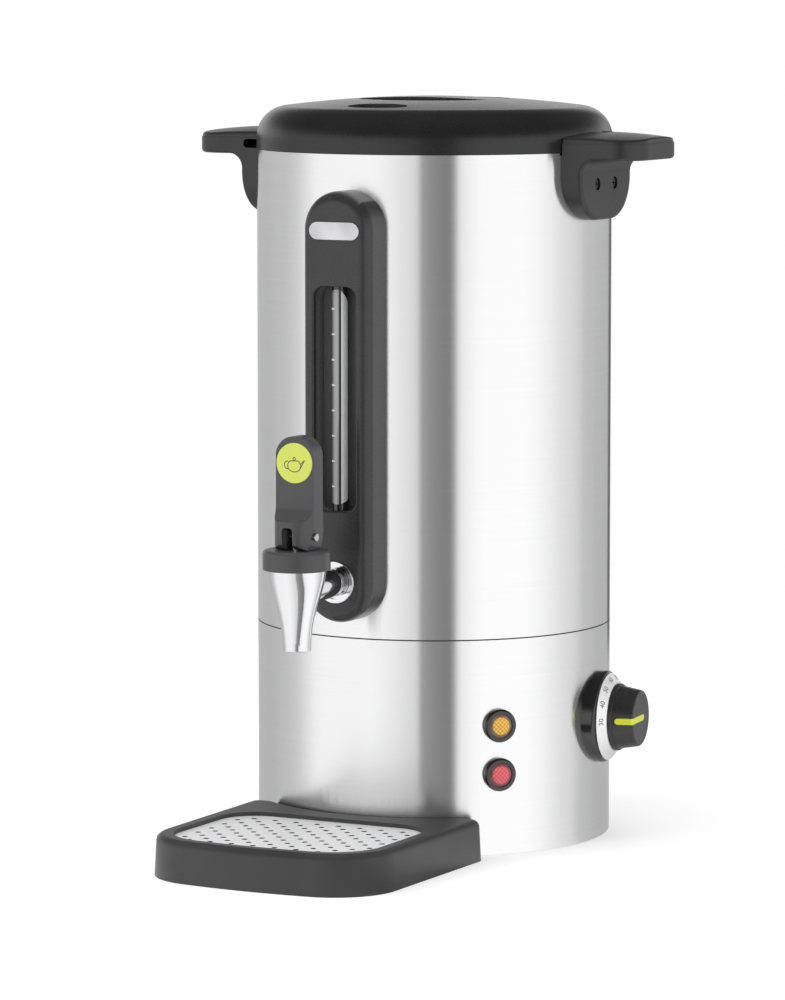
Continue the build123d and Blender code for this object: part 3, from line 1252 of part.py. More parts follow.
def tap_spout():
    body = Pos(0, TAP_Y, 0) * revolve(Plane.XZ * spout_profile(), Axis.Z)
    body += stub(TAP_PLANE, NECK_R, PANEL_FRONT - 2 * RING_STEP, -TAP_Y - CHAMBER_R)
    body -= upright(CHAMBER_R, TAP_Y, CHAMBER_FLOOR, SPOUT_TOP + PAST)
    body -= upright(NOZZLE_R, TAP_Y, SPOUT_LOW - PAST, CHAMBER_FLOOR + PAST)
    body -= stub(TAP_PLANE, SHANK_R, SHANK_INNER, SHANK_OUTER)
    body -= stub(TAP_PLANE, SHANK_BORE_R, SHANK_OUTER - PAST, -TAP_Y)
    return fillet(body.edges().group_by(Axis.Z)[0], SPOUT_TIP_EDGE)


def tap_bonnet():
    ring = upright(BONNET_R, TAP_Y, BONNET_LOW, BONNET_TOP)
    ring = fillet(ring.edges().group_by(Axis.Z)[-1], BONNET_EDGE)
    ring = fillet(ring.edges().group_by(Axis.Z)[0], BONNET_LOW_EDGE)
    ring += upright(BONNET_SPIGOT_R, TAP_Y, BONNET_LOW - BONNET_SPIGOT_H, BONNET_LOW)
    return ring - upright(STEM_R + RUN_GAP, TAP_Y, BONNET_LOW - 2 * FAR, BONNET_TOP + PAST)


def tap_stem():
    stem = upright(STEM_R, TAP_Y, CUP_TOP - STEM_SEAT, STEM_TOP_Z)
    stem = fillet(stem.edges().group_by(Axis.Z)[-1], STEM_EDGE)
    stem += upright(SPRING_R + SPRING_WIRE_R, TAP_Y, CUP_TOP, CUP_TOP + STEM_COLLAR_T)
    return stem - Pos(0, TAP_Y, PIN_Z) * Rot(0, 90, 0) * Cylinder(PIN_R, 4 * STEM_R)


def seat_cup():
    cup = upright(CUP_R, TAP_Y, CUP_LOW, CUP_TOP)
    cup = fillet(cup.edges().group_by(Axis.Z)[-1], CUP_EDGE)
    return cup - upright(STEM_R, TAP_Y, CUP_TOP - STEM_SEAT, CUP_TOP + PAST)


def tap_spring():
    low = CUP_TOP + STEM_COLLAR_T + SPRING_WIRE_R
    high = BONNET_LOW - BONNET_SPIGOT_H - SPRING_WIRE_R
    helix = Helix((high - low) / SPRING_TURNS, high - low, SPRING_R)
    section = Plane(origin=helix @ 0, z_dir=helix % 0) * Circle(SPRING_WIRE_R)
    return Pos(0, TAP_Y, low) * sweep(section, path=helix, is_frenet=True)


def lever_pin():
    reach = LEVER_HALF + FACE_GAP
    pin = Cylinder(PIN_R, 2 * reach)
    for side in (-1, 1):
        head = Pos(0, 0, side * (reach + PIN_HEAD_T / 2)) * Cylinder(PIN_HEAD_R, PIN_HEAD_T)
        outer = head.edges().group_by(Axis.Z)[-1 if side > 0 else 0]
        pin += fillet(outer, PIN_HEAD_EDGE)
    return Pos(0, TAP_Y, PIN_Z) * Rot(0, 90, 0) * pin


def cam_points(steps=6):
    """The lever's cam: its distance to the bonnet grows evenly with the angle that it is tilted by."""
    points = []
    for i in range(steps + 1):
        a = radians(LEVER_TILT + CAM_SPARE) * i / steps
        reach = CAM_REACH + CAM_RISE * a
        y = -reach * sin(a) - CAM_RISE * cos(a)
        z = -reach * cos(a) + CAM_RISE * sin(a)
        points.append((TAP_Y + y, PIN_Z + z))
    return points


def lever_side():
    """The lever seen from the side: cam, toe, ledge, scooped paddle and heel."""
    cam = cam_points()
    lip = LEVER_FOOT_FRONT - LEVER_LIP
    toe = (LEVER_FOOT_FRONT, cam[-1][1] + LEVER_TOE_H)
    outline = Polyline(cam[-1], toe, (lip, LEVER_LEDGE_Z - LEVER_LIP_H), (lip, LEVER_LEDGE_Z),
                       (LEVER_FRONT, LEVER_LEDGE_Z), (LEVER_FRONT, LEVER_TOP),
                       (LEVER_BACK, LEVER_TOP), (LEVER_BACK, LEVER_LEDGE_Z),
                       (LEVER_FOOT_BACK, LEVER_SOLE + LEVER_HEEL),
                       (LEVER_FOOT_BACK - LEVER_HEEL_STEP, LEVER_SOLE), cam[0])
    side = make_face(Curve() + [Spline(*cam), outline])
    scoop = side.vertices().sort_by_distance(Vector(LEVER_FRONT, LEVER_LEDGE_Z, 0))[0]
    return fillet(scoop, LEVER_SCOOP)


def lever_cheek(sign):
    """Wedge that is cut from one side of the foot, so that the foot narrows downwards."""
    depth = 2 * (LEVER_FOOT_AHEAD + LEVER_FOOT_BEHIND + FAR)
    hinge = Pos(sign * LEVER_HALF, TAP_Y, LEVER_SOLE + LEVER_CHEEK_H) * Rot(0, sign * LEVER_CHEEK_TILT, 0)
    return hinge * block(*sorted((0, sign * LEVER_HALF)), -depth / 2, depth / 2, -2 * LEVER_CHEEK_H, 0)


def tap_lever():
    slab = extrude(Plane.YZ * lever_side(), LEVER_HALF, both=True)
    height = LEVER_TOP - LEVER_SOLE + FAR
    face = Pos(0, LEVER_TOP - height / 2) * Rectangle(2 * LEVER_HALF, height)
    face = fillet(face.vertices().group_by(Axis.Y)[-1], LEVER_CROWN)
    front = extrude(radial_plane(0, -LEVER_BACK - FAR) * face, LEVER_BACK - LEVER_FOOT_FRONT + 2 * FAR)
    length = LEVER_FOOT_BACK - LEVER_FOOT_FRONT + LEVER_LIP + FAR
    nose = Pos(0, LEVER_FOOT_FRONT - LEVER_LIP + length / 2, 0) * Rectangle(2 * LEVER_HALF, length)
    nose = fillet(nose.vertices().group_by(Axis.Y)[0], LEVER_NOSE)
    plan = Pos(0, 0, LEVER_SOLE - FAR) * extrude(nose, LEVER_TOP - LEVER_SOLE + 2 * FAR)
    lever = slab & front & plan
    for sign in (-1, 1):
        lever -= lever_cheek(sign)
    slot = block(-LEVER_SLOT_HALF, LEVER_SLOT_HALF, LEVER_FOOT_FRONT - FAR, LEVER_SLOT_BACK,
                 LEVER_SOLE - FAR, PIN_Z + LEVER_SLOT_RISE)
    lever -= fillet(slot.edges().filter_by(Axis.Y).group_by(Axis.Z)[-1], LEVER_SLOT_EDGE)
    lever -= Pos(0, TAP_Y, PIN_Z) * Rot(0, 90, 0) * Cylinder(PIN_R + RUN_GAP, 4 * LEVER_HALF)
    return lever - disc_bar(FAR)


def disc_bar(proud):
    """The lever's round badge, as a bar that stands this far proud of the paddle."""
    return stub(radial_plane(0, -LEVER_FRONT, DISC_Z), DISC_R, DISC_PROUD - DISC_T, proud)


def lever_disc():
    return fillet(disc_bar(DISC_PROUD).faces().sort_by(Axis.Y)[0].edges(), DISC_EDGE)


# Drip tray

def tray_outline():
    shoulder = TRAY_FRONT + TRAY_BOW
    nose = ThreePointArc((-TRAY_HALF, shoulder), (0, TRAY_FRONT), (TRAY_HALF, shoulder))
    rest = Polyline(nose @ 1, (TRAY_REAR_HALF, TRAY_REAR), (-TRAY_REAR_HALF, TRAY_REAR), nose @ 0)
    face = make_face(Curve() + [nose, rest])
    face = fillet(face.vertices().group_by(Axis.Y)[0], TRAY_CORNER)
    return fillet(face.vertices().group_by(Axis.Y)[-1], TRAY_REAR_CORNER)


def bowl_outline(grow=0.0):
    half = BOWL_HALF + grow
    front = BOWL_FRONT - grow
    shoulder = front + BOWL_BOW
    back = BOWL_BACK + grow
    nose = ThreePointArc((-half, shoulder), (0, front), (half, shoulder))
    rest = Polyline(nose @ 1, (half, back), (-half, back), nose @ 0)
    face = make_face(Curve() + [nose, rest])
    face = fillet(face.vertices().group_by(Axis.Y)[0], BOWL_CORNER + grow)
    return fillet(face.vertices().group_by(Axis.Y)[-1], BOWL_REAR_CORNER + grow)


def drip_tray():
    recess_r = BODY_R + TRAY_GAP
    tray = extrude(tray_outline(), TRAY_H, taper=TRAY_DRAFT) - disc(recess_r, -PAST, TRAY_H + PAST)
    top = tray.faces().sort_by(Axis.Z)[-1]
    middles = [(e, e.position_at(0.5)) for e in top.edges()]
    outer = [e for e, p in middles if p.Y < -BODY_R or sqrt(p.X ** 2 + p.Y ** 2) > recess_r + PAST]
    tray = fillet(outer, TRAY_EDGE)
    tray -= Pos(0, 0, GRID_Z - GRID_T) * extrude(bowl_outline(), TRAY_H)
    return tray - Pos(0, 0, TRAY_FLOOR) * extrude(bowl_outline(-LEDGE_W), TRAY_H)


def grid_holes():
    """Staggered rows of round holes that keep a margin from the grid's edge."""
    safe = bowl_outline(-HOLE_MARGIN)
    box = safe.bounding_box()
    rows = int((box.max.Y - box.min.Y) / HOLE_PITCH_Y) + 1
    columns = int(box.max.X / HOLE_PITCH_X) + 1
    holes = []
    for row in range(rows):
        y = box.min.Y + PAST + row * HOLE_PITCH_Y
        shift = (row % 2) / 2
        for column in range(-columns, columns + 1):
            x = (column + shift) * HOLE_PITCH_X
            if safe.is_inside(Vector(x, y, 0)):
                holes.append(Pos(x, y) * Circle(HOLE_R))
    return Sketch() + holes


def drip_grid():
    low = GRID_Z - GRID_T
    plate = Pos(0, 0, low) * extrude(bowl_outline(-GRID_GAP), GRID_T)
    return plate - Pos(0, 0, low - PAST) * extrude(grid_holes(), GRID_T + 2 * PAST)


NODES = (
    tank, base_seal, base_casing, base_pan, rubber_feet, tie_rods, tie_nuts,
    diffuser_plate, heating_element, heat_shield,
    thermostat, thermostat_screws, thermostat_shaft, capillary_sensor,
    dial_bezel, dial_ring, control_knob, knob_pointer,
    lamp_bezels, lamp_lens_red, lamp_lens_amber, lamp_housings, lamp_clips,
    thermal_cutout, reset_button, terminal_block, earth_stud, cable_gland, gland_nut, element_leads,
    handle_right, handle_left, handle_screws, handle_nut_plates,
    lid_cover, lid_inner_plate, lid_gasket, lid_pivot_stud,
    front_panel, nameplate, panel_screw, gauge_tube, gauge_elbows, gauge_seals, gauge_nuts,
    tap_shank, shank_seals, shank_nut, shank_ring, tap_spout, tap_bonnet,
    tap_stem, seat_cup, tap_spring, lever_pin, tap_lever, lever_disc,
    drip_tray, drip_grid,
)

os.makedirs("parts", exist_ok=True)
for make in NODES:
    export_step(make(), f"parts/{make.__name__}.step")
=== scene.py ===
import bpy
import math
import numpy as np
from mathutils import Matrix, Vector


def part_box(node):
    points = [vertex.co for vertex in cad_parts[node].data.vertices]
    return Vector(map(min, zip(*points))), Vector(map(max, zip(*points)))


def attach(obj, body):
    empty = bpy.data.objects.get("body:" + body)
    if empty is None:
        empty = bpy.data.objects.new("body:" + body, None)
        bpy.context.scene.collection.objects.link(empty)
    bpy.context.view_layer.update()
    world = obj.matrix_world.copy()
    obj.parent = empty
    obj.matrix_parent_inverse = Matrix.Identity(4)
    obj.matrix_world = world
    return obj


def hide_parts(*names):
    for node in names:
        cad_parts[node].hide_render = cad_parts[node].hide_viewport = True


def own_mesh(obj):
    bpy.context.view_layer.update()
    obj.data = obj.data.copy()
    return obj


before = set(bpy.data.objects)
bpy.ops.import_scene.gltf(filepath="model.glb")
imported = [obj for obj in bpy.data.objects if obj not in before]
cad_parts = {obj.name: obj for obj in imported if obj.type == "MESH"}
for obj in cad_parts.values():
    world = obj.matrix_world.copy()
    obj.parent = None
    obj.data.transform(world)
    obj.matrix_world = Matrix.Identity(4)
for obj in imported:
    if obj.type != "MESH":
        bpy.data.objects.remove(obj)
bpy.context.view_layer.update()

# Camera
# A long lens stands low to the right of the urn's front, so that the knob is seen edge on and the
# drip tray shows its front and its right side.
CAMERA_PLACE = Vector((1.3915, -2.7309, 0.5467))
CAMERA_AZIMUTH = math.radians(27.0)
CAMERA_YAW = math.radians(0.487)
CAMERA_PITCH = math.radians(6.337)
CAMERA_LENS = 177.72
SENSOR_WIDTH = 36.0
CAMERA_REACH = 50.0
bearing = CAMERA_AZIMUTH + CAMERA_YAW
ahead = Vector((-math.sin(bearing), math.cos(bearing), 0))
camera_data = bpy.data.cameras.new("camera")
camera_data.lens = CAMERA_LENS
camera_data.sensor_width = SENSOR_WIDTH
camera_data.clip_end = CAMERA_REACH
camera = bpy.data.objects.new("camera", camera_data)
bpy.context.scene.collection.objects.link(camera)
camera.location = CAMERA_PLACE
look = ahead * math.cos(CAMERA_PITCH) - Vector((0, 0, math.sin(CAMERA_PITCH)))
camera.rotation_mode = "QUATERNION"
camera.rotation_quaternion = look.to_track_quat("-Z", "Y")
bpy.context.scene.camera = camera
bpy.context.scene.view_settings.view_transform = "Standard"


# Studio
# A pale round floor in a white room. The room's wall is brighter and darker in broad upright bands, like
# softboxes and the gaps between them, for the brushed steel to mirror. Where the floor is mirrored it carries
# the bands on at the urn's sides, and fades to one even tone behind the urn.
class Shade:
    """An output socket of a material's or the world's nodes. Python's operators on it add Math nodes."""

    def __init__(self, tree, socket=None):
        self.tree = tree
        self.socket = socket

    def add(self, kind, sockets=None, settings=None, output=0):
        """Any node, from its type, the values or links of its sockets, its settings, and the output wanted."""
        node = self.tree.nodes.new(kind)
        for name, value in (settings or {}).items():
            if name == "stops":
                self.set_stops(node.color_ramp, value)
            else:
                setattr(node, name, value)
        for key, value in (sockets or {}).items():
            if isinstance(value, Shade):
                self.tree.links.new(value.socket, node.inputs[key])
            else:
                node.inputs[key].default_value = value
        return Shade(self.tree, node.outputs[output] if node.outputs else None)

    @staticmethod
    def set_stops(ramp, stops):
        """Gives a colour ramp its greys, each with its place from 0 to 1."""
        while len(ramp.elements) < len(stops):
            ramp.elements.new(0.5)
        for element, (place, value) in zip(ramp.elements, stops):
            element.position = place
            element.color = (value, value, value, 1)

    def math(self, operation, *others):
        """What a Math node makes of this value and of the others that its operation takes."""
        return self.add("ShaderNodeMath", dict(enumerate((self, *others))), {"operation": operation})

    def __add__(self, other):
        return self.math("ADD", other)

    def __sub__(self, other):
        return self.math("SUBTRACT", other)

    def __mul__(self, other):
        return self.math("MULTIPLY", other)

    def __truediv__(self, other):
        return self.math("DIVIDE", other)

    def __rsub__(self, other):
        return self.add("ShaderNodeMath", {0: other, 1: self}, {"operation": "SUBTRACT"})

    def between(self, low, high, start=0.0, end=1.0):
        """This value carried smoothly from start, at low, to end, at high."""
        names = {"Value": self, "From Min": low, "From Max": high, "To Min": start, "To Max": end}
        return self.add("ShaderNodeMapRange", names, {"interpolation_type": "SMOOTHSTEP"})

    def axes(self):
        """The x, y and z of a vector."""
        split = self.add("ShaderNodeSeparateXYZ", {0: self}).socket.node
        return [Shade(self.tree, split.outputs[i]) for i in range(3)]

    def stretched(self, scale):
        """A place vector with each axis multiplied by its own scale."""
        return self.add("ShaderNodeMapping", {"Vector": self, "Scale": scale})

    def noise(self, scale, detail=2.0, roughness=0.5):
        """Soft noise from 0 to 1 at this place vector."""
        names = {"Vector": self, "Scale": scale, "Detail": detail, "Roughness": roughness}
        return self.add("ShaderNodeTexNoise", names)

    def tint(self, color_a, color_b):
        """The colour that lies between two colours by this value, as a mask."""
        names = {0: self, 6: color_a, 7: color_b}
        return self.add("ShaderNodeMix", names, {"data_type": "RGBA"}, output=2)

    def rays(self):
        """Masks of the rays that the camera sends out, and of those that a mirror or a clear part sends on."""
        kinds = self.add("ShaderNodeLightPath").socket.node.outputs
        camera_ray = Shade(self.tree, kinds["Is Camera Ray"])
        glossy_ray = Shade(self.tree, kinds["Is Glossy Ray"])
        through_ray = Shade(self.tree, kinds["Is Transmission Ray"])
        return camera_ray, glossy_ray.math("MAXIMUM", through_ray)


def rgb(red, green, blue):
    """A colour in the form that a shader socket takes."""
    return (red, green, blue, 1.0)


WHITE = rgb(1, 1, 1)
WALL_BANDS = (       # each azimuth from the camera's side towards +X, in degrees, and the light from there
    (-180, 0.52), (-135, 0.54), (-112, 0.64), (-100, 0.76), (-82, 1.12), (-40, 1.18), (-25, 1.04),
    (-13, 0.87), (-10.5, 0.86), (-8.5, 0.40), (0, 0.31), (10, 0.24), (12.5, 0.34), (16, 1.02), (30, 1.24),
    (62, 1.24), (76, 1.13), (90, 0.95), (105, 0.82), (115, 0.64), (137, 0.54), (156, 0.50), (160, 0.10),
    (166, 0.10), (170, 0.60), (180, 0.52),
)
WALL_MOST = 1.3
CEILING = (0.15, 0.5)       # as the sine of the elevation, from the wall's top to the ceiling's even tone
OVERHEAD = 0.10
GLOW = 0.44
GLOW_WIDTH = (0.2, 0.8)     # as the cosine of the angle from straight behind the urn
GLOW_BOTTOM = (0.0, 0.08)
GLOW_TOP = (0.15, 0.35)
AMBIENT = 0.62


def bearing_of(east, north):
    """The angle round the urn's axis to this place, from the camera's side towards +X."""
    return east.math("ARCTAN2", 0 - north) - CAMERA_AZIMUTH


def bands(bearing):
    """The light that comes from this bearing, out of the bands that go round the urn."""
    turn = (bearing / (2 * math.pi) + 1.5).math("FRACT")
    stops = [((azimuth + 180) / 360, light / WALL_MOST) for azimuth, light in WALL_BANDS]
    return turn.add("ShaderNodeValToRGB", {0: turn}, {"stops": stops}) * WALL_MOST


world = bpy.data.worlds.new("studio")
bpy.context.scene.world = world
world.use_nodes = True
world.node_tree.nodes.clear()
room = Shade(world.node_tree)
east, north, up = room.add("ShaderNodeTexCoord", output="Generated").axes()
overhead = up.between(*CEILING)
behind = (north * math.cos(CAMERA_AZIMUTH) - east * math.sin(CAMERA_AZIMUTH)).between(*GLOW_WIDTH)
glow = behind * up.between(*GLOW_BOTTOM) * up.between(*GLOW_TOP, 1.0, 0.0) * GLOW
seen_light = bands(bearing_of(east, north)) * (1 - overhead) + overhead * OVERHEAD + glow
camera_ray, mirrored = room.rays()
strength = camera_ray + (1 - camera_ray) * (mirrored * seen_light + (1 - mirrored) * AMBIENT)
backdrop = room.add("ShaderNodeBackground", {"Color": WHITE, "Strength": strength})
room.add("ShaderNodeOutputWorld", {"Surface": backdrop})

FLOOR_R = 0.85
FLOOR_SIDES = 96
FLOOR_TONE = 0.78
FLOOR_LIFT = 0.32
BODY_R = 0.110
CLOSEST = 0.5               # of the body's radius, where the bands stop being spread any wider
BACK_FADE = (-0.9, -0.5)    # as the cosine of the angle from the camera's side
BEHIND = 0.53
LAST_BEARING = math.radians(155)
angle = np.linspace(0, 2 * math.pi, FLOOR_SIDES, endpoint=False)
rim = np.stack((FLOOR_R * np.cos(angle), FLOOR_R * np.sin(angle), np.zeros(FLOOR_SIDES)), axis=1)
floor_mesh = bpy.data.meshes.new("floor")
floor_mesh.from_pydata(rim.tolist(), [], [list(range(FLOOR_SIDES))])
floor = bpy.data.objects.new("floor", floor_mesh)
bpy.context.scene.collection.objects.link(floor)
floor_paint = bpy.data.materials.new("floor_paper")
floor_paint.use_nodes = True
floor_paint.node_tree.nodes.clear()
paper = Shade(floor_paint.node_tree)
camera_ray, mirrored = paper.rays()
east, north = paper.add("ShaderNodeTexCoord", output="Object").axes()[:2]
reach = (east * east + north * north).math("POWER", 0.5)
toward = (east * math.sin(CAMERA_AZIMUTH) - north * math.cos(CAMERA_AZIMUTH)) / reach
sides = toward.between(*BACK_FADE)
# A mirrored ray leaves from the body's skin and not from its axis, so the floor shows bands from further
# round, the more so the nearer it is.
beyond = reach * 2 - BODY_R
spread = (reach * 2) / beyond.math("MAXIMUM", CLOSEST * BODY_R)
spread = (spread - 1) * sides + 1
bearing = (bearing_of(east, north) * spread).math("MINIMUM", LAST_BEARING).math("MAXIMUM", -LAST_BEARING)
echoed = bands(bearing) * sides + (1 - sides) * BEHIND
matt = paper.add("ShaderNodeBsdfDiffuse", {"Color": rgb(FLOOR_TONE, FLOOR_TONE, FLOOR_TONE)})
lift = paper.add("ShaderNodeEmission", {"Color": WHITE, "Strength": FLOOR_LIFT})
lifted = paper.add("ShaderNodeAddShader", {0: matt, 1: lift})
sheet = paper.add("ShaderNodeMixShader", {0: camera_ray, 1: matt, 2: lifted})
echo = paper.add("ShaderNodeEmission", {"Color": WHITE, "Strength": echoed})
surface = paper.add("ShaderNodeMixShader", {0: mirrored, 1: sheet, 2: echo})
paper.add("ShaderNodeOutputMaterial", {"Surface": surface})
floor_mesh.materials.append(floor_paint)

URN_MIDDLE = Vector((0, 0, 0.22))


def softbox(name, azimuth, height, distance, width, watts):
    """Square lamp that looks at the urn's middle from this azimuth, counted from the front towards +X."""
    lamp = bpy.data.lights.new(name, "AREA")
    lamp.size = width
    lamp.energy = watts
    box = bpy.data.objects.new(name, lamp)
    bpy.context.scene.collection.objects.link(box)
    turn = math.radians(azimuth)
    box.location = Vector((math.sin(turn) * distance, -math.cos(turn) * distance, height))
    box.rotation_euler = (URN_MIDDLE - box.location).to_track_quat("-Z", "Y").to_euler()
    box.visible_camera = False
    box.visible_glossy = False


softbox("lamp_left", azimuth=-50, height=1.5, distance=1.7, width=1.2, watts=16)
softbox("lamp_right", azimuth=95, height=1.2, distance=1.8, width=1.2, watts=10)
softbox("lamp_top", azimuth=10, height=2.2, distance=0.2, width=1.6, watts=16)

# Tank and base casing
# Stainless sheet, rolled round and welded up the back, brushed round the body and then degreased. The tank
# stands on the casing with a silicone seal between them, painted near black as painted shade of the gap at
# the seam; the seals inside are pale.
STEEL = rgb(0.80, 0.80, 0.805)
WELD_HALF = (0.0006, 0.0016)        # half its width, and where it has faded out


def finish(name, color, roughness, **constants):
    """A new material: its shader, the place vector of its surface, and the material. The constants are sockets of
    the shader that are the same all over, with _ for a space in their names."""
    material = bpy.data.materials.new(name)
    material.use_nodes = True
    shader = material.node_tree.nodes["Principled BSDF"]
    shader.inputs["Base Color"].default_value = color
    shader.inputs["Roughness"].default_value = roughness
    for key, value in constants.items():
        shader.inputs[key.replace("_", " ")].default_value = value
    place = Shade(material.node_tree).add("ShaderNodeTexCoord", output="Object")
    return material, shader, place


def feed(shader, socket, value):
    """Links a value that changes over the surface to a socket of the shader."""
    value.tree.links.new(value.socket, shader.inputs[socket])


def emboss(shader, height, distance):
    """Gives a height from 0 to 1 to the shader as a bump of this depth in metres."""
    names = {"Height": height, "Distance": distance, "Strength": 1.0}
    feed(shader, "Normal", height.add("ShaderNodeBump", names))


def paint(material, *names):
    """Puts a material on CAD nodes in place of what they came with."""
    for name in names:
        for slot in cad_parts[name].material_slots:
            slot.material = material


def brushed_steel(name, streaks, weld=False):
    """Steel brushed along the plane that is square to the axis: streaks gives how fine the lines are on each axis.
    A weld is a dull line up the back, where the sheet's edges meet."""
    material, shader, place = finish(name, STEEL, 0.15, Metallic=1.0, Anisotropic=0.9, Anisotropic_Rotation=0.25)
    coarse = place.stretched(streaks).noise(1.0, 3.0, 0.65)
    fine = place.stretched([3 * s for s in streaks]).noise(1.0, 2.0, 0.6)
    cloud = place.noise(14.0, 3.0)
    lines = coarse * 0.5 + fine * 0.5
    dull = lines.between(0.3, 0.7, 0.16, 0.21) + (cloud - 0.5) * 0.03
    tone = lines.between(0.25, 0.75).tint(rgb(0.785, 0.785, 0.79), rgb(0.83, 0.83, 0.835))
    if weld:
        east, north, up = place.axes()
        seam = east.math("ABSOLUTE").between(*WELD_HALF, 1.0, 0.0) * north.between(0.0, 0.02)
        bead = seam * up.noise(1400.0, 1.0).between(0.2, 0.8, 0.6, 1.0)
        dull = dull + seam * 0.22
        tone = (bead * 0.6).tint(tone, rgb(0.46, 0.45, 0.44))
    feed(shader, "Roughness", dull)
    feed(shader, "Base Color", tone)
    emboss(shader, lines, 0.000006)
    return material


paint(brushed_steel("steel_brushed_round", (5.0, 5.0, 1900.0), weld=True), "tank", "base_casing")
paint(brushed_steel("steel_brushed_plate", (3.0, 2200.0, 3.0)), "lid_inner_plate")
pale_rubber, shader, place = finish("silicone_pale", rgb(0.72, 0.72, 0.70), 0.45, Subsurface_Weight=0.1)
feed(shader, "Roughness", place.noise(300.0).between(0.2, 0.8, 0.38, 0.55))
paint(pale_rubber, "lid_gasket", "gauge_seals", "shank_seals", "seat_cup")
# The base seal's near black is painted shade of the gap where the tank meets the casing.
dark_rubber, shader, place = finish("silicone_seam_shade", rgb(0.03, 0.03, 0.03), 0.55)
feed(shader, "Roughness", place.noise(300.0).between(0.2, 0.8, 0.45, 0.65))
paint(dark_rubber, "base_seal")

# Base pan, feet, tie rods and the parts under the tank
# The pan is zinc plated sheet with punched cooling slots, held by three tie rods. The element is a ring under
# an aluminium plate, with a heat shield below it.
zinc, shader, place = finish("zinc_plate", rgb(0.60, 0.61, 0.63), 0.38, Metallic=1.0)
spangle = place.noise(120.0, 4.0, 0.7)
feed(shader, "Roughness", spangle.between(0.3, 0.7, 0.28, 0.5))
feed(shader, "Base Color", spangle.tint(rgb(0.52, 0.53, 0.56), rgb(0.70, 0.70, 0.70)))
emboss(shader, spangle, 0.00003)
paint(zinc, "base_pan", "tie_rods", "tie_nuts", "thermostat_screws", "thermostat_shaft", "lamp_clips",
      "handle_nut_plates")
foot_rubber, shader, place = finish("foot_rubber", rgb(0.022, 0.022, 0.022), 0.8)
dust = place.noise(260.0, 3.0)
feed(shader, "Base Color", dust.between(0.4, 0.8).tint(rgb(0.018, 0.018, 0.018), rgb(0.045, 0.044, 0.042)))
emboss(shader, dust, 0.00006)
paint(foot_rubber, "rubber_feet")
sheet_aluminium, shader, place = finish("aluminium_sheet", rgb(0.76, 0.76, 0.77), 0.42, Metallic=1.0)
rolled = place.stretched((500.0, 12.0, 500.0)).noise(1.0, 3.0)
feed(shader, "Roughness", rolled.between(0.3, 0.7, 0.34, 0.52))
emboss(shader, rolled, 0.00002)
paint(sheet_aluminium, "diffuser_plate", "heat_shield")
scaled_steel, shader, place = finish("element_sheath", rgb(0.30, 0.29, 0.28), 0.5, Metallic=1.0)
scale_mask = place.noise(90.0, 5.0, 0.7)
feed(shader, "Base Color", scale_mask.between(0.35, 0.7).tint(rgb(0.36, 0.35, 0.34), rgb(0.15, 0.12, 0.10)))
feed(shader, "Roughness", scale_mask.between(0.3, 0.7, 0.35, 0.65))
paint(scaled_steel, "heating_element")

# Wiring, thermostat and cutout
# Bought-in parts inside the base: a phenolic thermostat with a copper capillary, a phenolic cutout with a red
# button, the lamps' housings, a ceramic-white terminal block with two sleeved leads, and a brass earth stud.
phenolic, shader, place = finish("phenolic_brown", rgb(0.05, 0.035, 0.025), 0.45)
fleck = place.noise(700.0, 3.0)
feed(shader, "Base Color", fleck.between(0.4, 0.75).tint(rgb(0.04, 0.028, 0.02), rgb(0.10, 0.075, 0.055)))
paint(phenolic, "thermostat", "thermal_cutout", "lamp_housings")
block_white, shader, place = finish("block_white", rgb(0.78, 0.77, 0.72), 0.5)
feed(shader, "Roughness", place.noise(400.0).between(0.2, 0.8, 0.4, 0.6))
paint(block_white, "terminal_block")
sleeve, shader, place = finish("lead_sleeve", rgb(0.62, 0.61, 0.58), 0.6)
braid = place.stretched((1500.0, 1500.0, 900.0)).noise(1.0, 1.0)
feed(shader, "Base Color", braid.tint(rgb(0.45, 0.44, 0.42), rgb(0.74, 0.73, 0.70)))
emboss(shader, braid, 0.0001)
paint(sleeve, "element_leads")
brass, shader, place = finish("brass", rgb(0.68, 0.50, 0.22), 0.32, Metallic=1.0)
feed(shader, "Roughness", place.noise(250.0, 3.0).between(0.3, 0.7, 0.22, 0.42))
paint(brass, "earth_stud")
copper, shader, place = finish("copper_tube", rgb(0.72, 0.37, 0.22), 0.3, Metallic=1.0)
tarnish = place.noise(150.0, 4.0)
feed(shader, "Base Color", tarnish.between(0.4, 0.75).tint(rgb(0.76, 0.40, 0.24), rgb(0.42, 0.20, 0.12)))
paint(copper, "capillary_sensor")
button_red, shader, place = finish("button_red", rgb(0.55, 0.02, 0.015), 0.3)
feed(shader, "Roughness", place.noise(500.0).between(0.2, 0.8, 0.22, 0.4))
paint(button_red, "reset_button")


# Handles, lid, tray and gland
# Injection moulded polypropylene in black, with the fine even grain of a spark eroded mould. Each moulding
# has a black and a grain of its own: the lid is the darkest and smoothest, the tray the palest.
def moulded(name, dark, light, roughness, grain, depth):
    """Black moulded plastic: grain gives how fine its texture is per metre, and depth how deep."""
    material, shader, place = finish(name, rgb(dark, dark, dark * 1.05), roughness)
    pores = place.noise(grain, 2.0, 0.6)
    cloud = place.noise(35.0, 3.0)
    tone = (cloud * 0.7 + pores * 0.3).between(0.3, 0.7)
    feed(shader, "Base Color", tone.tint(rgb(dark, dark, dark * 1.05), rgb(light, light, light * 1.04)))
    feed(shader, "Roughness", pores.between(0.25, 0.75, roughness - 0.06, roughness + 0.08))
    emboss(shader, pores, depth)
    return material


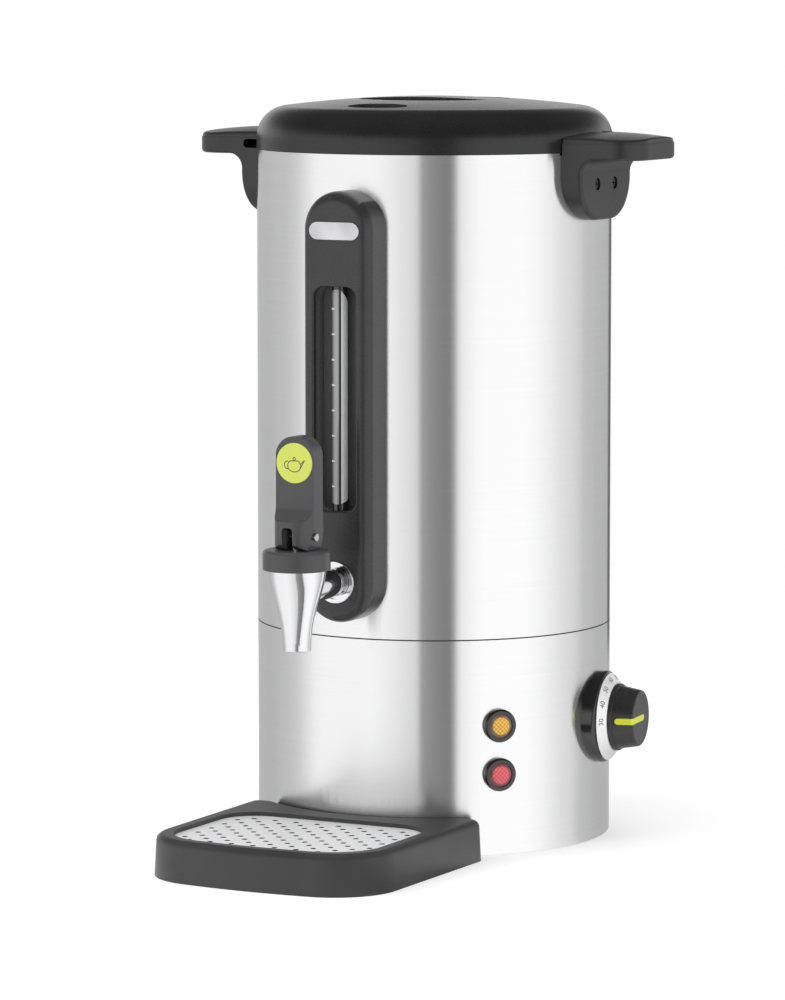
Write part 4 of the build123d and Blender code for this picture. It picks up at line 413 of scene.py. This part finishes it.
handle_black = moulded("handle_black", 0.019, 0.026, 0.32, 2600.0, 0.00001)
lid_black = moulded("lid_black", 0.010, 0.014, 0.25, 2600.0, 0.000006)
tray_black = moulded("tray_black", 0.036, 0.046, 0.40, 2600.0, 0.00002)
gland_black = moulded("gland_black", 0.020, 0.030, 0.50, 1500.0, 0.00003)
paint(handle_black, "handle_right", "handle_left")
paint(lid_black, "lid_cover")
paint(tray_black, "drip_tray")
paint(gland_black, "cable_gland", "gland_nut")

# Screws and small steel parts
# The lid's pivot stud, the panel's screw, the lever's pin and the valve's spring are stainless steel. The
# handles' cross recess screws are blackened.
turned_steel, shader, place = finish("steel_turned", rgb(0.62, 0.62, 0.63), 0.25, Metallic=1.0)
turning = place.noise(900.0, 3.0)
feed(shader, "Roughness", turning.between(0.3, 0.7, 0.18, 0.36))
emboss(shader, turning, 0.000008)
paint(turned_steel, "lid_pivot_stud", "panel_screw", "lever_pin")
black_zinc, shader, place = finish("zinc_black", rgb(0.09, 0.09, 0.09), 0.34, Metallic=0.8)
feed(shader, "Roughness", place.noise(1200.0, 2.0).between(0.3, 0.7, 0.26, 0.44))
paint(black_zinc, "handle_screws")

# Front panel
# One black moulding, satin rather than grained, that hugs the tank. It holds the nameplate in a shallow
# pillow-shaped recess and the level gauge in a deep one, whose inside is painted paler: painted light where
# the recess is in shade.
RECESS_HALF = 0.0160
RECESS_BLEND = 0.001
# The paler inside is painted light, put where the recess is in shade.
RECESS_DEPTH = (0.002, 0.006)       # behind the panel's face, from where its inside turns paler
panel_low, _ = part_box("front_panel")
panel_black, shader, place = finish("panel_black", rgb(0.030, 0.030, 0.031), 0.28)
east, north = place.axes()[:2]
# Painted light: the inside of the deep recess gets a paler black than the face, to lift its shade.
in_recess = east.math("ABSOLUTE").between(RECESS_HALF - RECESS_BLEND, RECESS_HALF, 1.0, 0.0)
in_recess = in_recess * north.between(*(panel_low.y + depth for depth in RECESS_DEPTH))
satin = place.noise(1800.0, 2.0)
mottle = (place.noise(35.0, 3.0) * 0.7 + satin * 0.3).between(0.3, 0.7)
tone = mottle.tint(rgb(0.027, 0.027, 0.028), rgb(0.034, 0.034, 0.035))
feed(shader, "Base Color", in_recess.tint(tone, rgb(0.15, 0.15, 0.152)))
feed(shader, "Roughness", satin.between(0.25, 0.75, 0.24, 0.36))
emboss(shader, satin, 0.000006)
paint(panel_black, "front_panel")
plate_silver, shader, place = finish("plate_silver", rgb(0.62, 0.62, 0.63), 0.36, Metallic=1.0)
sand = place.noise(2600.0, 2.0, 0.7)
sheen = place.noise(55.0, 1.0)
feed(shader, "Roughness", sand.between(0.3, 0.7, 0.28, 0.46))
tone = (sand * 0.55 + sheen * 0.45).between(0.32, 0.68)
feed(shader, "Base Color", tone.tint(rgb(0.50, 0.50, 0.51), rgb(0.78, 0.78, 0.79)))
emboss(shader, sand, 0.00002)
paint(plate_silver, "nameplate")

# Level gauge
# A clear tube with a stripe of painted reflection: grey on one side, where the tube mirrors what is beside it,
# and white on the other, for the bright steel seen through it, with a dark line between them. The white's top
# is cut on a diagonal by the painted shadow of the window's corner. Eight white marks are fired on beside the
# stripe. Both ends are dark, where the fittings' stoppers show through.
STRIPE_GREY = (-70.0, 13.0)     # azimuths round the tube, in degrees
STRIPE_DARK = (17.0, 33.0)
STRIPE_WHITE_END = (88.0, 96.0)
STRIPE_BLEND = 2.0
TICKS = 8       # as many as there are litres marked
TICK_LOW = 0.2270
TICK_HIGH = 0.3340
TICK_HALF = 0.0005
TICK_PROUD = 0.00022
TICK_AZIMUTHS = (-70.0, -14.0)
GLASS_LOW = 0.2165      # heights between which the tube isn't dark
GLASS_HIGH = 0.3455
# how far the window corner's painted shadow lowers the white's top, per radian round the tube
GLASS_SLANT = 0.0042
END_BLEND = 0.0003
END_ROUND = 0.0012
tube_low, tube_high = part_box("gauge_tube")
tube_centre = (tube_low + tube_high) / 2
tube_r = (tube_high.x - tube_low.x) / 2
tube_glass, shader, place = finish("tube_glass", rgb(0.4, 0.4, 0.4), 0.12, Coat_Weight=0.6, Coat_Roughness=0.05)
east, north, up = place.axes()
around_tube = (east - tube_centre.x).math("ARCTAN2", tube_centre.y - north)


def past(low, high):
    """0 up to the first azimuth round the tube and 1 from the second one on, both in degrees."""
    return around_tube.between(math.radians(low), math.radians(high))


# Painted reflection: grey where the tube mirrors its side, then a dark line, then white for the bright steel seen
# through it.
grey_tone = past(*STRIPE_GREY).tint(rgb(0.18, 0.18, 0.185), rgb(0.38, 0.38, 0.385))
past_line = past(STRIPE_DARK[1], STRIPE_DARK[1] + STRIPE_BLEND)
tone = past(STRIPE_DARK[0] - STRIPE_BLEND, STRIPE_DARK[0]).tint(grey_tone, rgb(0.03, 0.03, 0.032))
tone = past_line.tint(tone, rgb(0.82, 0.82, 0.83))
tone = past(*STRIPE_WHITE_END).tint(tone, rgb(0.22, 0.22, 0.22))
round_end = around_tube * around_tube * END_ROUND
# Painted shadow: the window's corner darkens the white's top end on a diagonal.
slant = past_line * (around_tube - math.radians(STRIPE_DARK[1])) * GLASS_SLANT
below = (up - round_end).between(GLASS_LOW - END_BLEND, GLASS_LOW, 1.0, 0.0)
above = (up + round_end + slant).between(GLASS_HIGH, GLASS_HIGH + END_BLEND)
tone = below.math("MAXIMUM", above).tint(tone, rgb(0.012, 0.012, 0.012))
feed(shader, "Base Color", tone)
feed(shader, "Roughness", place.noise(60.0, 2.0).between(0.2, 0.8, 0.08, 0.16))
paint(tube_glass, "gauge_tube")


def piece(name, points, faces, material, body, slot, smooth=True):
    """A new object from its points and faces, on one of the bodies."""
    mesh = bpy.data.meshes.new(name)
    corners = [[int(corner) for corner in face] for face in faces]
    mesh.from_pydata(np.asarray(points, float).reshape(-1, 3).tolist(), [], corners)
    mesh.validate()
    mesh.polygons.foreach_set("use_smooth", [smooth] * len(mesh.polygons))
    mesh.materials.append(material)
    item = bpy.data.objects.new(name, mesh)
    bpy.context.scene.collection.objects.link(item)
    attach(item, body)
    return item


def grid_faces(rows, columns, wrap=False):
    """Faces of a grid of points, counted row by row; wrap joins the last column to the first."""
    r = np.arange(rows - 1)[:, None]
    c = np.arange(columns if wrap else columns - 1)[None, :]
    here = r * columns + c
    right = r * columns + (c + 1) % columns
    return np.stack((here, right, right + columns, here + columns), axis=-1).reshape(-1, 4)


def box_patch(u, v, low, high, place):
    """Closed patch: a grid in u and v at two heights, low and high, joined round its edge. place turns the three
    arrays into points."""
    grid_u, grid_v = np.meshgrid(u, v, indexing="ij")
    top = place(grid_u, grid_v, np.full_like(grid_u, high))
    bottom = place(grid_u, grid_v, np.full_like(grid_u, low))
    rows, columns = grid_u.shape
    faces = grid_faces(rows, columns)
    count = rows * columns
    index = np.arange(count).reshape(rows, columns)
    edge = np.concatenate((index[0, :-1], index[:-1, -1], index[-1, :0:-1], index[:0:-1, 0]))
    after = np.roll(edge, -1)
    walls = np.stack((after, edge, edge + count, after + count), axis=1)
    points = np.concatenate((top.reshape(-1, 3), bottom.reshape(-1, 3)))
    return points, np.concatenate((faces, faces[:, ::-1] + count, walls))


def joined(patches):
    """The points and the faces of many patches, each of them a pair of points and faces, as one."""
    points, faces, count = [], [], 0
    for patch_points, patch_faces in patches:
        points.append(patch_points)
        faces += [[count + corner for corner in face] for face in patch_faces]
        count += len(patch_points)
    return np.concatenate(points), faces


mark_white, shader, place = finish("mark_white", rgb(0.86, 0.86, 0.86), 0.35)
feed(shader, "Roughness", place.noise(900.0).between(0.2, 0.8, 0.3, 0.45))


def tube_point(azimuth, height, radius):
    """Point on the level tube's wall, from an azimuth about its own axis."""
    turn = np.radians(azimuth)
    east = tube_centre.x + radius * np.sin(turn)
    north = tube_centre.y - radius * np.cos(turn)
    return np.stack((east, north, height), axis=-1)


tick_azimuths = np.linspace(*TICK_AZIMUTHS, 9)
ticks = [box_patch(tick_azimuths, (level + TICK_HALF, level - TICK_HALF), tube_r - TICK_PROUD,
                   tube_r + TICK_PROUD, tube_point) for level in np.linspace(TICK_LOW, TICK_HIGH, TICKS)]
piece("level_marks", *joined(ticks), mark_white, "urn", "plate_silver")

# Gauge fittings, shank and nuts
# Brass, turned and then dull nickel plated, where nothing has to shine. The fittings carry the level tube and
# the shank carries the tap, all of them through the tank's wall.
nickel, shader, place = finish("nickel_dull", rgb(0.66, 0.64, 0.60), 0.3, Metallic=1.0)
haze = place.noise(200.0, 3.0)
feed(shader, "Roughness", haze.between(0.3, 0.7, 0.22, 0.4))
feed(shader, "Base Color", haze.tint(rgb(0.60, 0.58, 0.54), rgb(0.70, 0.68, 0.65)))
paint(nickel, "gauge_elbows", "gauge_nuts", "tap_shank", "shank_nut")

# Tap
# Brass body with an outlet, polished and chrome plated, and a black plastic bonnet screwed on top. The stem
# comes up through the bonnet into the lever.
chrome, shader, place = finish("chrome", rgb(0.76, 0.76, 0.77), 0.05, Metallic=1.0)
wipe = place.noise(45.0, 4.0, 0.6)
feed(shader, "Roughness", wipe.between(0.3, 0.8, 0.03, 0.09))
emboss(shader, place.noise(30.0, 1.0), 0.00003)
paint(chrome, "shank_ring", "tap_spout", "tap_stem")
lever_black = moulded("lever_black", 0.062, 0.074, 0.36, 2400.0, 0.000012)
paint(lever_black, "tap_lever", "tap_bonnet")

# Valve spring
# Round stainless wire wound to a helix. Its upper end stays against the bonnet; in the tap its lower end
# comes up with the stem and squeezes the coil while the tap is open, but here the coil is built at one length
# on the urn's body.
SPRING_WIRE_R = 0.0006
SPRING_TURNS = 5
SPRING_STEPS = 160
WIRE_SIDES = 12
spring_low, spring_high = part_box("tap_spring")
spring_centre = (spring_low + spring_high) / 2
coil_r = (spring_high.x - spring_low.x) / 2 - SPRING_WIRE_R


def coil_points(turn, side):
    """Points on the wire: the middle is (r cos t, r sin t, p t), and the wire's side goes round it at right angles,
    outwards by cos s and along the binormal by sin s."""
    pitch = (spring_high.z - spring_low.z - 2 * SPRING_WIRE_R) / (2 * math.pi * SPRING_TURNS)
    run = math.hypot(coil_r, pitch)
    out = np.stack((np.cos(turn), np.sin(turn), np.zeros_like(turn)), axis=-1)
    across = np.stack((pitch * np.sin(turn), -pitch * np.cos(turn), np.full_like(turn, coil_r)), axis=-1) / run
    middle = coil_r * out + np.array((0, 0, 1.0)) * (pitch * turn)[..., None]
    wire = SPRING_WIRE_R * (np.cos(side)[..., None] * out + np.sin(side)[..., None] * across)
    return middle + wire + np.array((spring_centre.x, spring_centre.y, spring_low.z + SPRING_WIRE_R))


turns, sides = np.meshgrid(np.linspace(0, 2 * math.pi * SPRING_TURNS, SPRING_STEPS),
                           np.linspace(0, 2 * math.pi, WIRE_SIDES, endpoint=False), indexing="ij")
end_cap = np.arange(WIRE_SIDES)
coil_faces = [*grid_faces(SPRING_STEPS, WIRE_SIDES, wrap=True)[:, ::-1].tolist(), end_cap.tolist(),
              (end_cap[::-1] + (SPRING_STEPS - 1) * WIRE_SIDES).tolist()]
valve_spring = piece("valve_spring", coil_points(turns, sides), coil_faces, turned_steel, "urn", "spring_steel")
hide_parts("tap_spring")
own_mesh(valve_spring)

# Lever badge
# A lime disc, printed and lacquered, sunk in the lever's thumb rest. Its icon is a teapot in thin lines. The
# knob's pointer has the same colour, a little deeper.
def lime_print(name, dark, light):
    """Lacquered print with the fine mottle of ink between two tones."""
    material, shader, place = finish(name, dark, 0.32, Coat_Weight=0.3, Coat_Roughness=0.15)
    ink = place.noise(2500.0, 2.0)
    feed(shader, "Base Color", ink.between(0.3, 0.7).tint(dark, light))
    feed(shader, "Roughness", ink.between(0.2, 0.8, 0.28, 0.38))
    return material


paint(lime_print("lime_badge", rgb(0.70, 0.78, 0.10), rgb(0.76, 0.84, 0.14)), "lever_disc")
paint(lime_print("lime_pointer", rgb(0.76, 0.80, 0.01), rgb(0.82, 0.86, 0.02)), "knob_pointer")
print_grey, shader, place = finish("print_grey", rgb(0.10, 0.11, 0.08), 0.4)
feed(shader, "Base Color", place.noise(3000.0).tint(rgb(0.08, 0.08, 0.07), rgb(0.14, 0.14, 0.12)))

ICON_LINE = 0.00026         # half the width of a line
ICON_PROUD = 0.00005
MILLIMETRE = 0.001
disc_low, disc_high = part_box("lever_disc")
disc_middle = (disc_low + disc_high) / 2
curve = np.linspace(0, 1, 25)


def bow(x, z, radius_x, radius_z, start, end):
    """Points on an ellipse about (x, z), from one angle to another in degrees."""
    turn = np.radians(start + (end - start) * curve)
    return np.stack((x + radius_x * np.cos(turn), z + radius_z * np.sin(turn)), axis=1)


def line_patch(path):
    """A thin line drawn along a path on the badge, in millimetres from its middle, as a closed patch."""
    path = np.asarray(path, float) * MILLIMETRE
    ahead = np.gradient(path, axis=0)
    ahead /= np.linalg.norm(ahead, axis=1)[:, None]
    step = np.arange(len(path), dtype=float)

    def place(u, v, depth):
        """Point at step u of the path, v to its side and depth in front of the badge."""
        x = np.interp(u, step, path[:, 0]) - v * np.interp(u, step, ahead[:, 1])
        z = np.interp(u, step, path[:, 1]) + v * np.interp(u, step, ahead[:, 0])
        return np.stack((disc_middle.x + x, disc_low.y - depth, disc_middle.z + z), axis=-1)

    return box_patch(step, (ICON_LINE, -ICON_LINE), -ICON_PROUD, ICON_PROUD, place)


pot = bow(0.0, -1.6, 4.4, 3.6, -235, 55)
pot_rim = np.linspace((-2.7, 1.35), (2.7, 1.35), 5)
lid_knob = bow(0.0, 2.6, 0.8, 0.8, -80, 260)
pot_handle = bow(-4.4, -1.2, 2.2, 2.3, 75, 285)
spout_top = np.linspace((4.2, -0.6), (7.0, 1.9), 5)
spout_bottom = np.linspace((4.0, -3.2), (7.0, 1.9), 5)
icon = [line_patch(path) for path in (pot, pot_rim, lid_knob, pot_handle, spout_top, spout_bottom)]
piece("badge_icon", *joined(icon), print_grey, "lever", "lime_mark")

# Thermostat dial, knob and lamps
# A gloss black bezel screwed to the casing, a silver ring with printed figures, and a knob on the
# thermostat's shaft. The lamps are clipped in beside it.
gloss_black, shader, place = finish("gloss_black", rgb(0.012, 0.012, 0.013), 0.12, Coat_Weight=0.5,
                                    Coat_Roughness=0.05)
feed(shader, "Roughness", place.noise(120.0, 3.0).between(0.3, 0.7, 0.08, 0.2))
paint(gloss_black, "dial_bezel", "lamp_bezels")
knob_black = moulded("knob_black", 0.022, 0.028, 0.26, 2200.0, 0.000006)
paint(knob_black, "control_knob")
silver_dial, shader, place = finish("silver_dial", rgb(0.97, 0.97, 0.975), 0.4, Metallic=0.35)
spun = place.noise(900.0, 2.0)
feed(shader, "Roughness", spun.between(0.3, 0.7, 0.34, 0.48))
paint(silver_dial, "dial_ring")

KNOB_AZIMUTH = math.radians(97.0)
KNOB_Z = 0.076
DIAL_MIDDLE_R = 0.0242
DIAL_MIDDLE_OUT = 0.1183
DIAL_SLOPE = (0.7727, -0.6347)      # along the dial's cone, away from its axis
FIGURES = range(30, 111, 10)
FIGURE_H = 0.0034
FONT_SIZE = FIGURE_H * 1.38         # the size that makes a digit so high
FIGURE_PROUD = 0.00006
FIGURE_TURN = math.radians(25.75)


def figure_mesh(text):
    """Points and faces of a number, a thin slab in its own plane with its middle at the origin."""
    face = bpy.data.curves.new("figure", "FONT")
    face.body = text
    face.size = FONT_SIZE
    face.extrude = FIGURE_PROUD
    face.align_x = "CENTER"
    face.align_y = "CENTER"
    item = bpy.data.objects.new("figure", face)
    mesh = bpy.data.meshes.new_from_object(item)
    points = np.empty(len(mesh.vertices) * 3)
    mesh.vertices.foreach_get("co", points)
    faces = [list(polygon.vertices) for polygon in mesh.polygons]
    bpy.data.objects.remove(item)
    bpy.data.curves.remove(face)
    bpy.data.meshes.remove(mesh)
    return points.reshape(-1, 3), faces


def on_dial(points, turn):
    """Bends a flat figure on the dial's cone, this far clockwise from nine o'clock: a turn about the axis is
    pi - turn - x / r, and y goes along the slope."""
    u, v, rise = points.T
    angle = math.pi - turn - u / (DIAL_MIDDLE_R + v * DIAL_SLOPE[0])
    radius = DIAL_MIDDLE_R + v * DIAL_SLOPE[0] - rise * DIAL_SLOPE[1]
    out = DIAL_MIDDLE_OUT + v * DIAL_SLOPE[1] + rise * DIAL_SLOPE[0]
    side = radius * np.cos(angle)
    x = out * math.sin(KNOB_AZIMUTH) + side * math.cos(KNOB_AZIMUTH)
    y = -out * math.cos(KNOB_AZIMUTH) + side * math.sin(KNOB_AZIMUTH)
    return np.stack((x, y, KNOB_Z + radius * np.sin(angle)), axis=1)


figures = []
for i, number in enumerate(FIGURES):
    points, faces = figure_mesh(str(number))
    figures.append((on_dial(points, FIGURE_TURN * i), faces))
piece("dial_figures", *joined(figures), print_grey, "urn", "silver_dial", smooth=False)

LAMP_AZIMUTH = math.radians(48.0)
LENS_CORE = (0.70, 0.82)            # of the lens's radius, where the core ends
DOT_PITCH = 0.0026


def lens(name, node, ring, core, glow):
    """A lamp's lens: a core with a dotted reflector in a darker ring, about the lens's own middle."""
    low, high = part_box(node)
    middle = (low + high) / 2
    radius = (high.z - low.z) / 2
    material, shader, place = finish(name, ring, 0.12, Coat_Weight=0.6, Coat_Roughness=0.04)
    distance = place.add("ShaderNodeVectorMath", {0: place, 1: middle}, {"operation": "DISTANCE"}, output="Value")
    inside = distance.between(LENS_CORE[0] * radius, LENS_CORE[1] * radius, 1.0, 0.0)
    east, north, up = place.axes()
    along = east * math.cos(LAMP_AZIMUTH) + north * math.sin(LAMP_AZIMUTH)
    dot_turn = 2 * math.pi / DOT_PITCH
    dots = (along * dot_turn).math("SINE") * (up * dot_turn).math("SINE")
    dotted = inside * dots.between(-0.5, 0.5, 0.45, 1.0)
    feed(shader, "Base Color", dotted.tint(ring, core))
    shader.inputs["Emission Strength"].default_value = glow
    feed(shader, "Emission Color", dotted.tint(rgb(0, 0, 0), core))
    paint(material, node)


lens("lens_red", "lamp_lens_red", rgb(0.20, 0.03, 0.04), rgb(0.74, 0.075, 0.095), 0.32)
lens("lens_amber", "lamp_lens_amber", rgb(0.17, 0.10, 0.05), rgb(0.80, 0.41, 0.01), 0.34)

# Drip grid
# Stainless sheet with punched holes, brushed from side to side and pickled pale, that lies in the tray's
# ledge. The holes' walls are painted near black, as painted shade inside the holes.
grid_steel, shader, place = finish("grid_steel", rgb(0.80, 0.80, 0.81), 0.42, Metallic=0.35)
rubbed = place.stretched((12.0, 1600.0, 1600.0)).noise(1.0, 3.0)
feed(shader, "Roughness", rubbed.between(0.3, 0.7, 0.36, 0.50))
# Painted shade: faces turned sideways, the holes' walls, get a near black in place of the sheet's tone.
facing = place.add("ShaderNodeNewGeometry", output="Normal").axes()[2]
flat = facing.math("ABSOLUTE").between(0.5, 0.9)
sheet = rubbed.tint(rgb(0.90, 0.90, 0.91), rgb(0.98, 0.98, 0.985))
feed(shader, "Base Color", flat.tint(rgb(0.05, 0.05, 0.05), sheet))
emboss(shader, rubbed, 0.00001)
paint(grid_steel, "drip_grid")
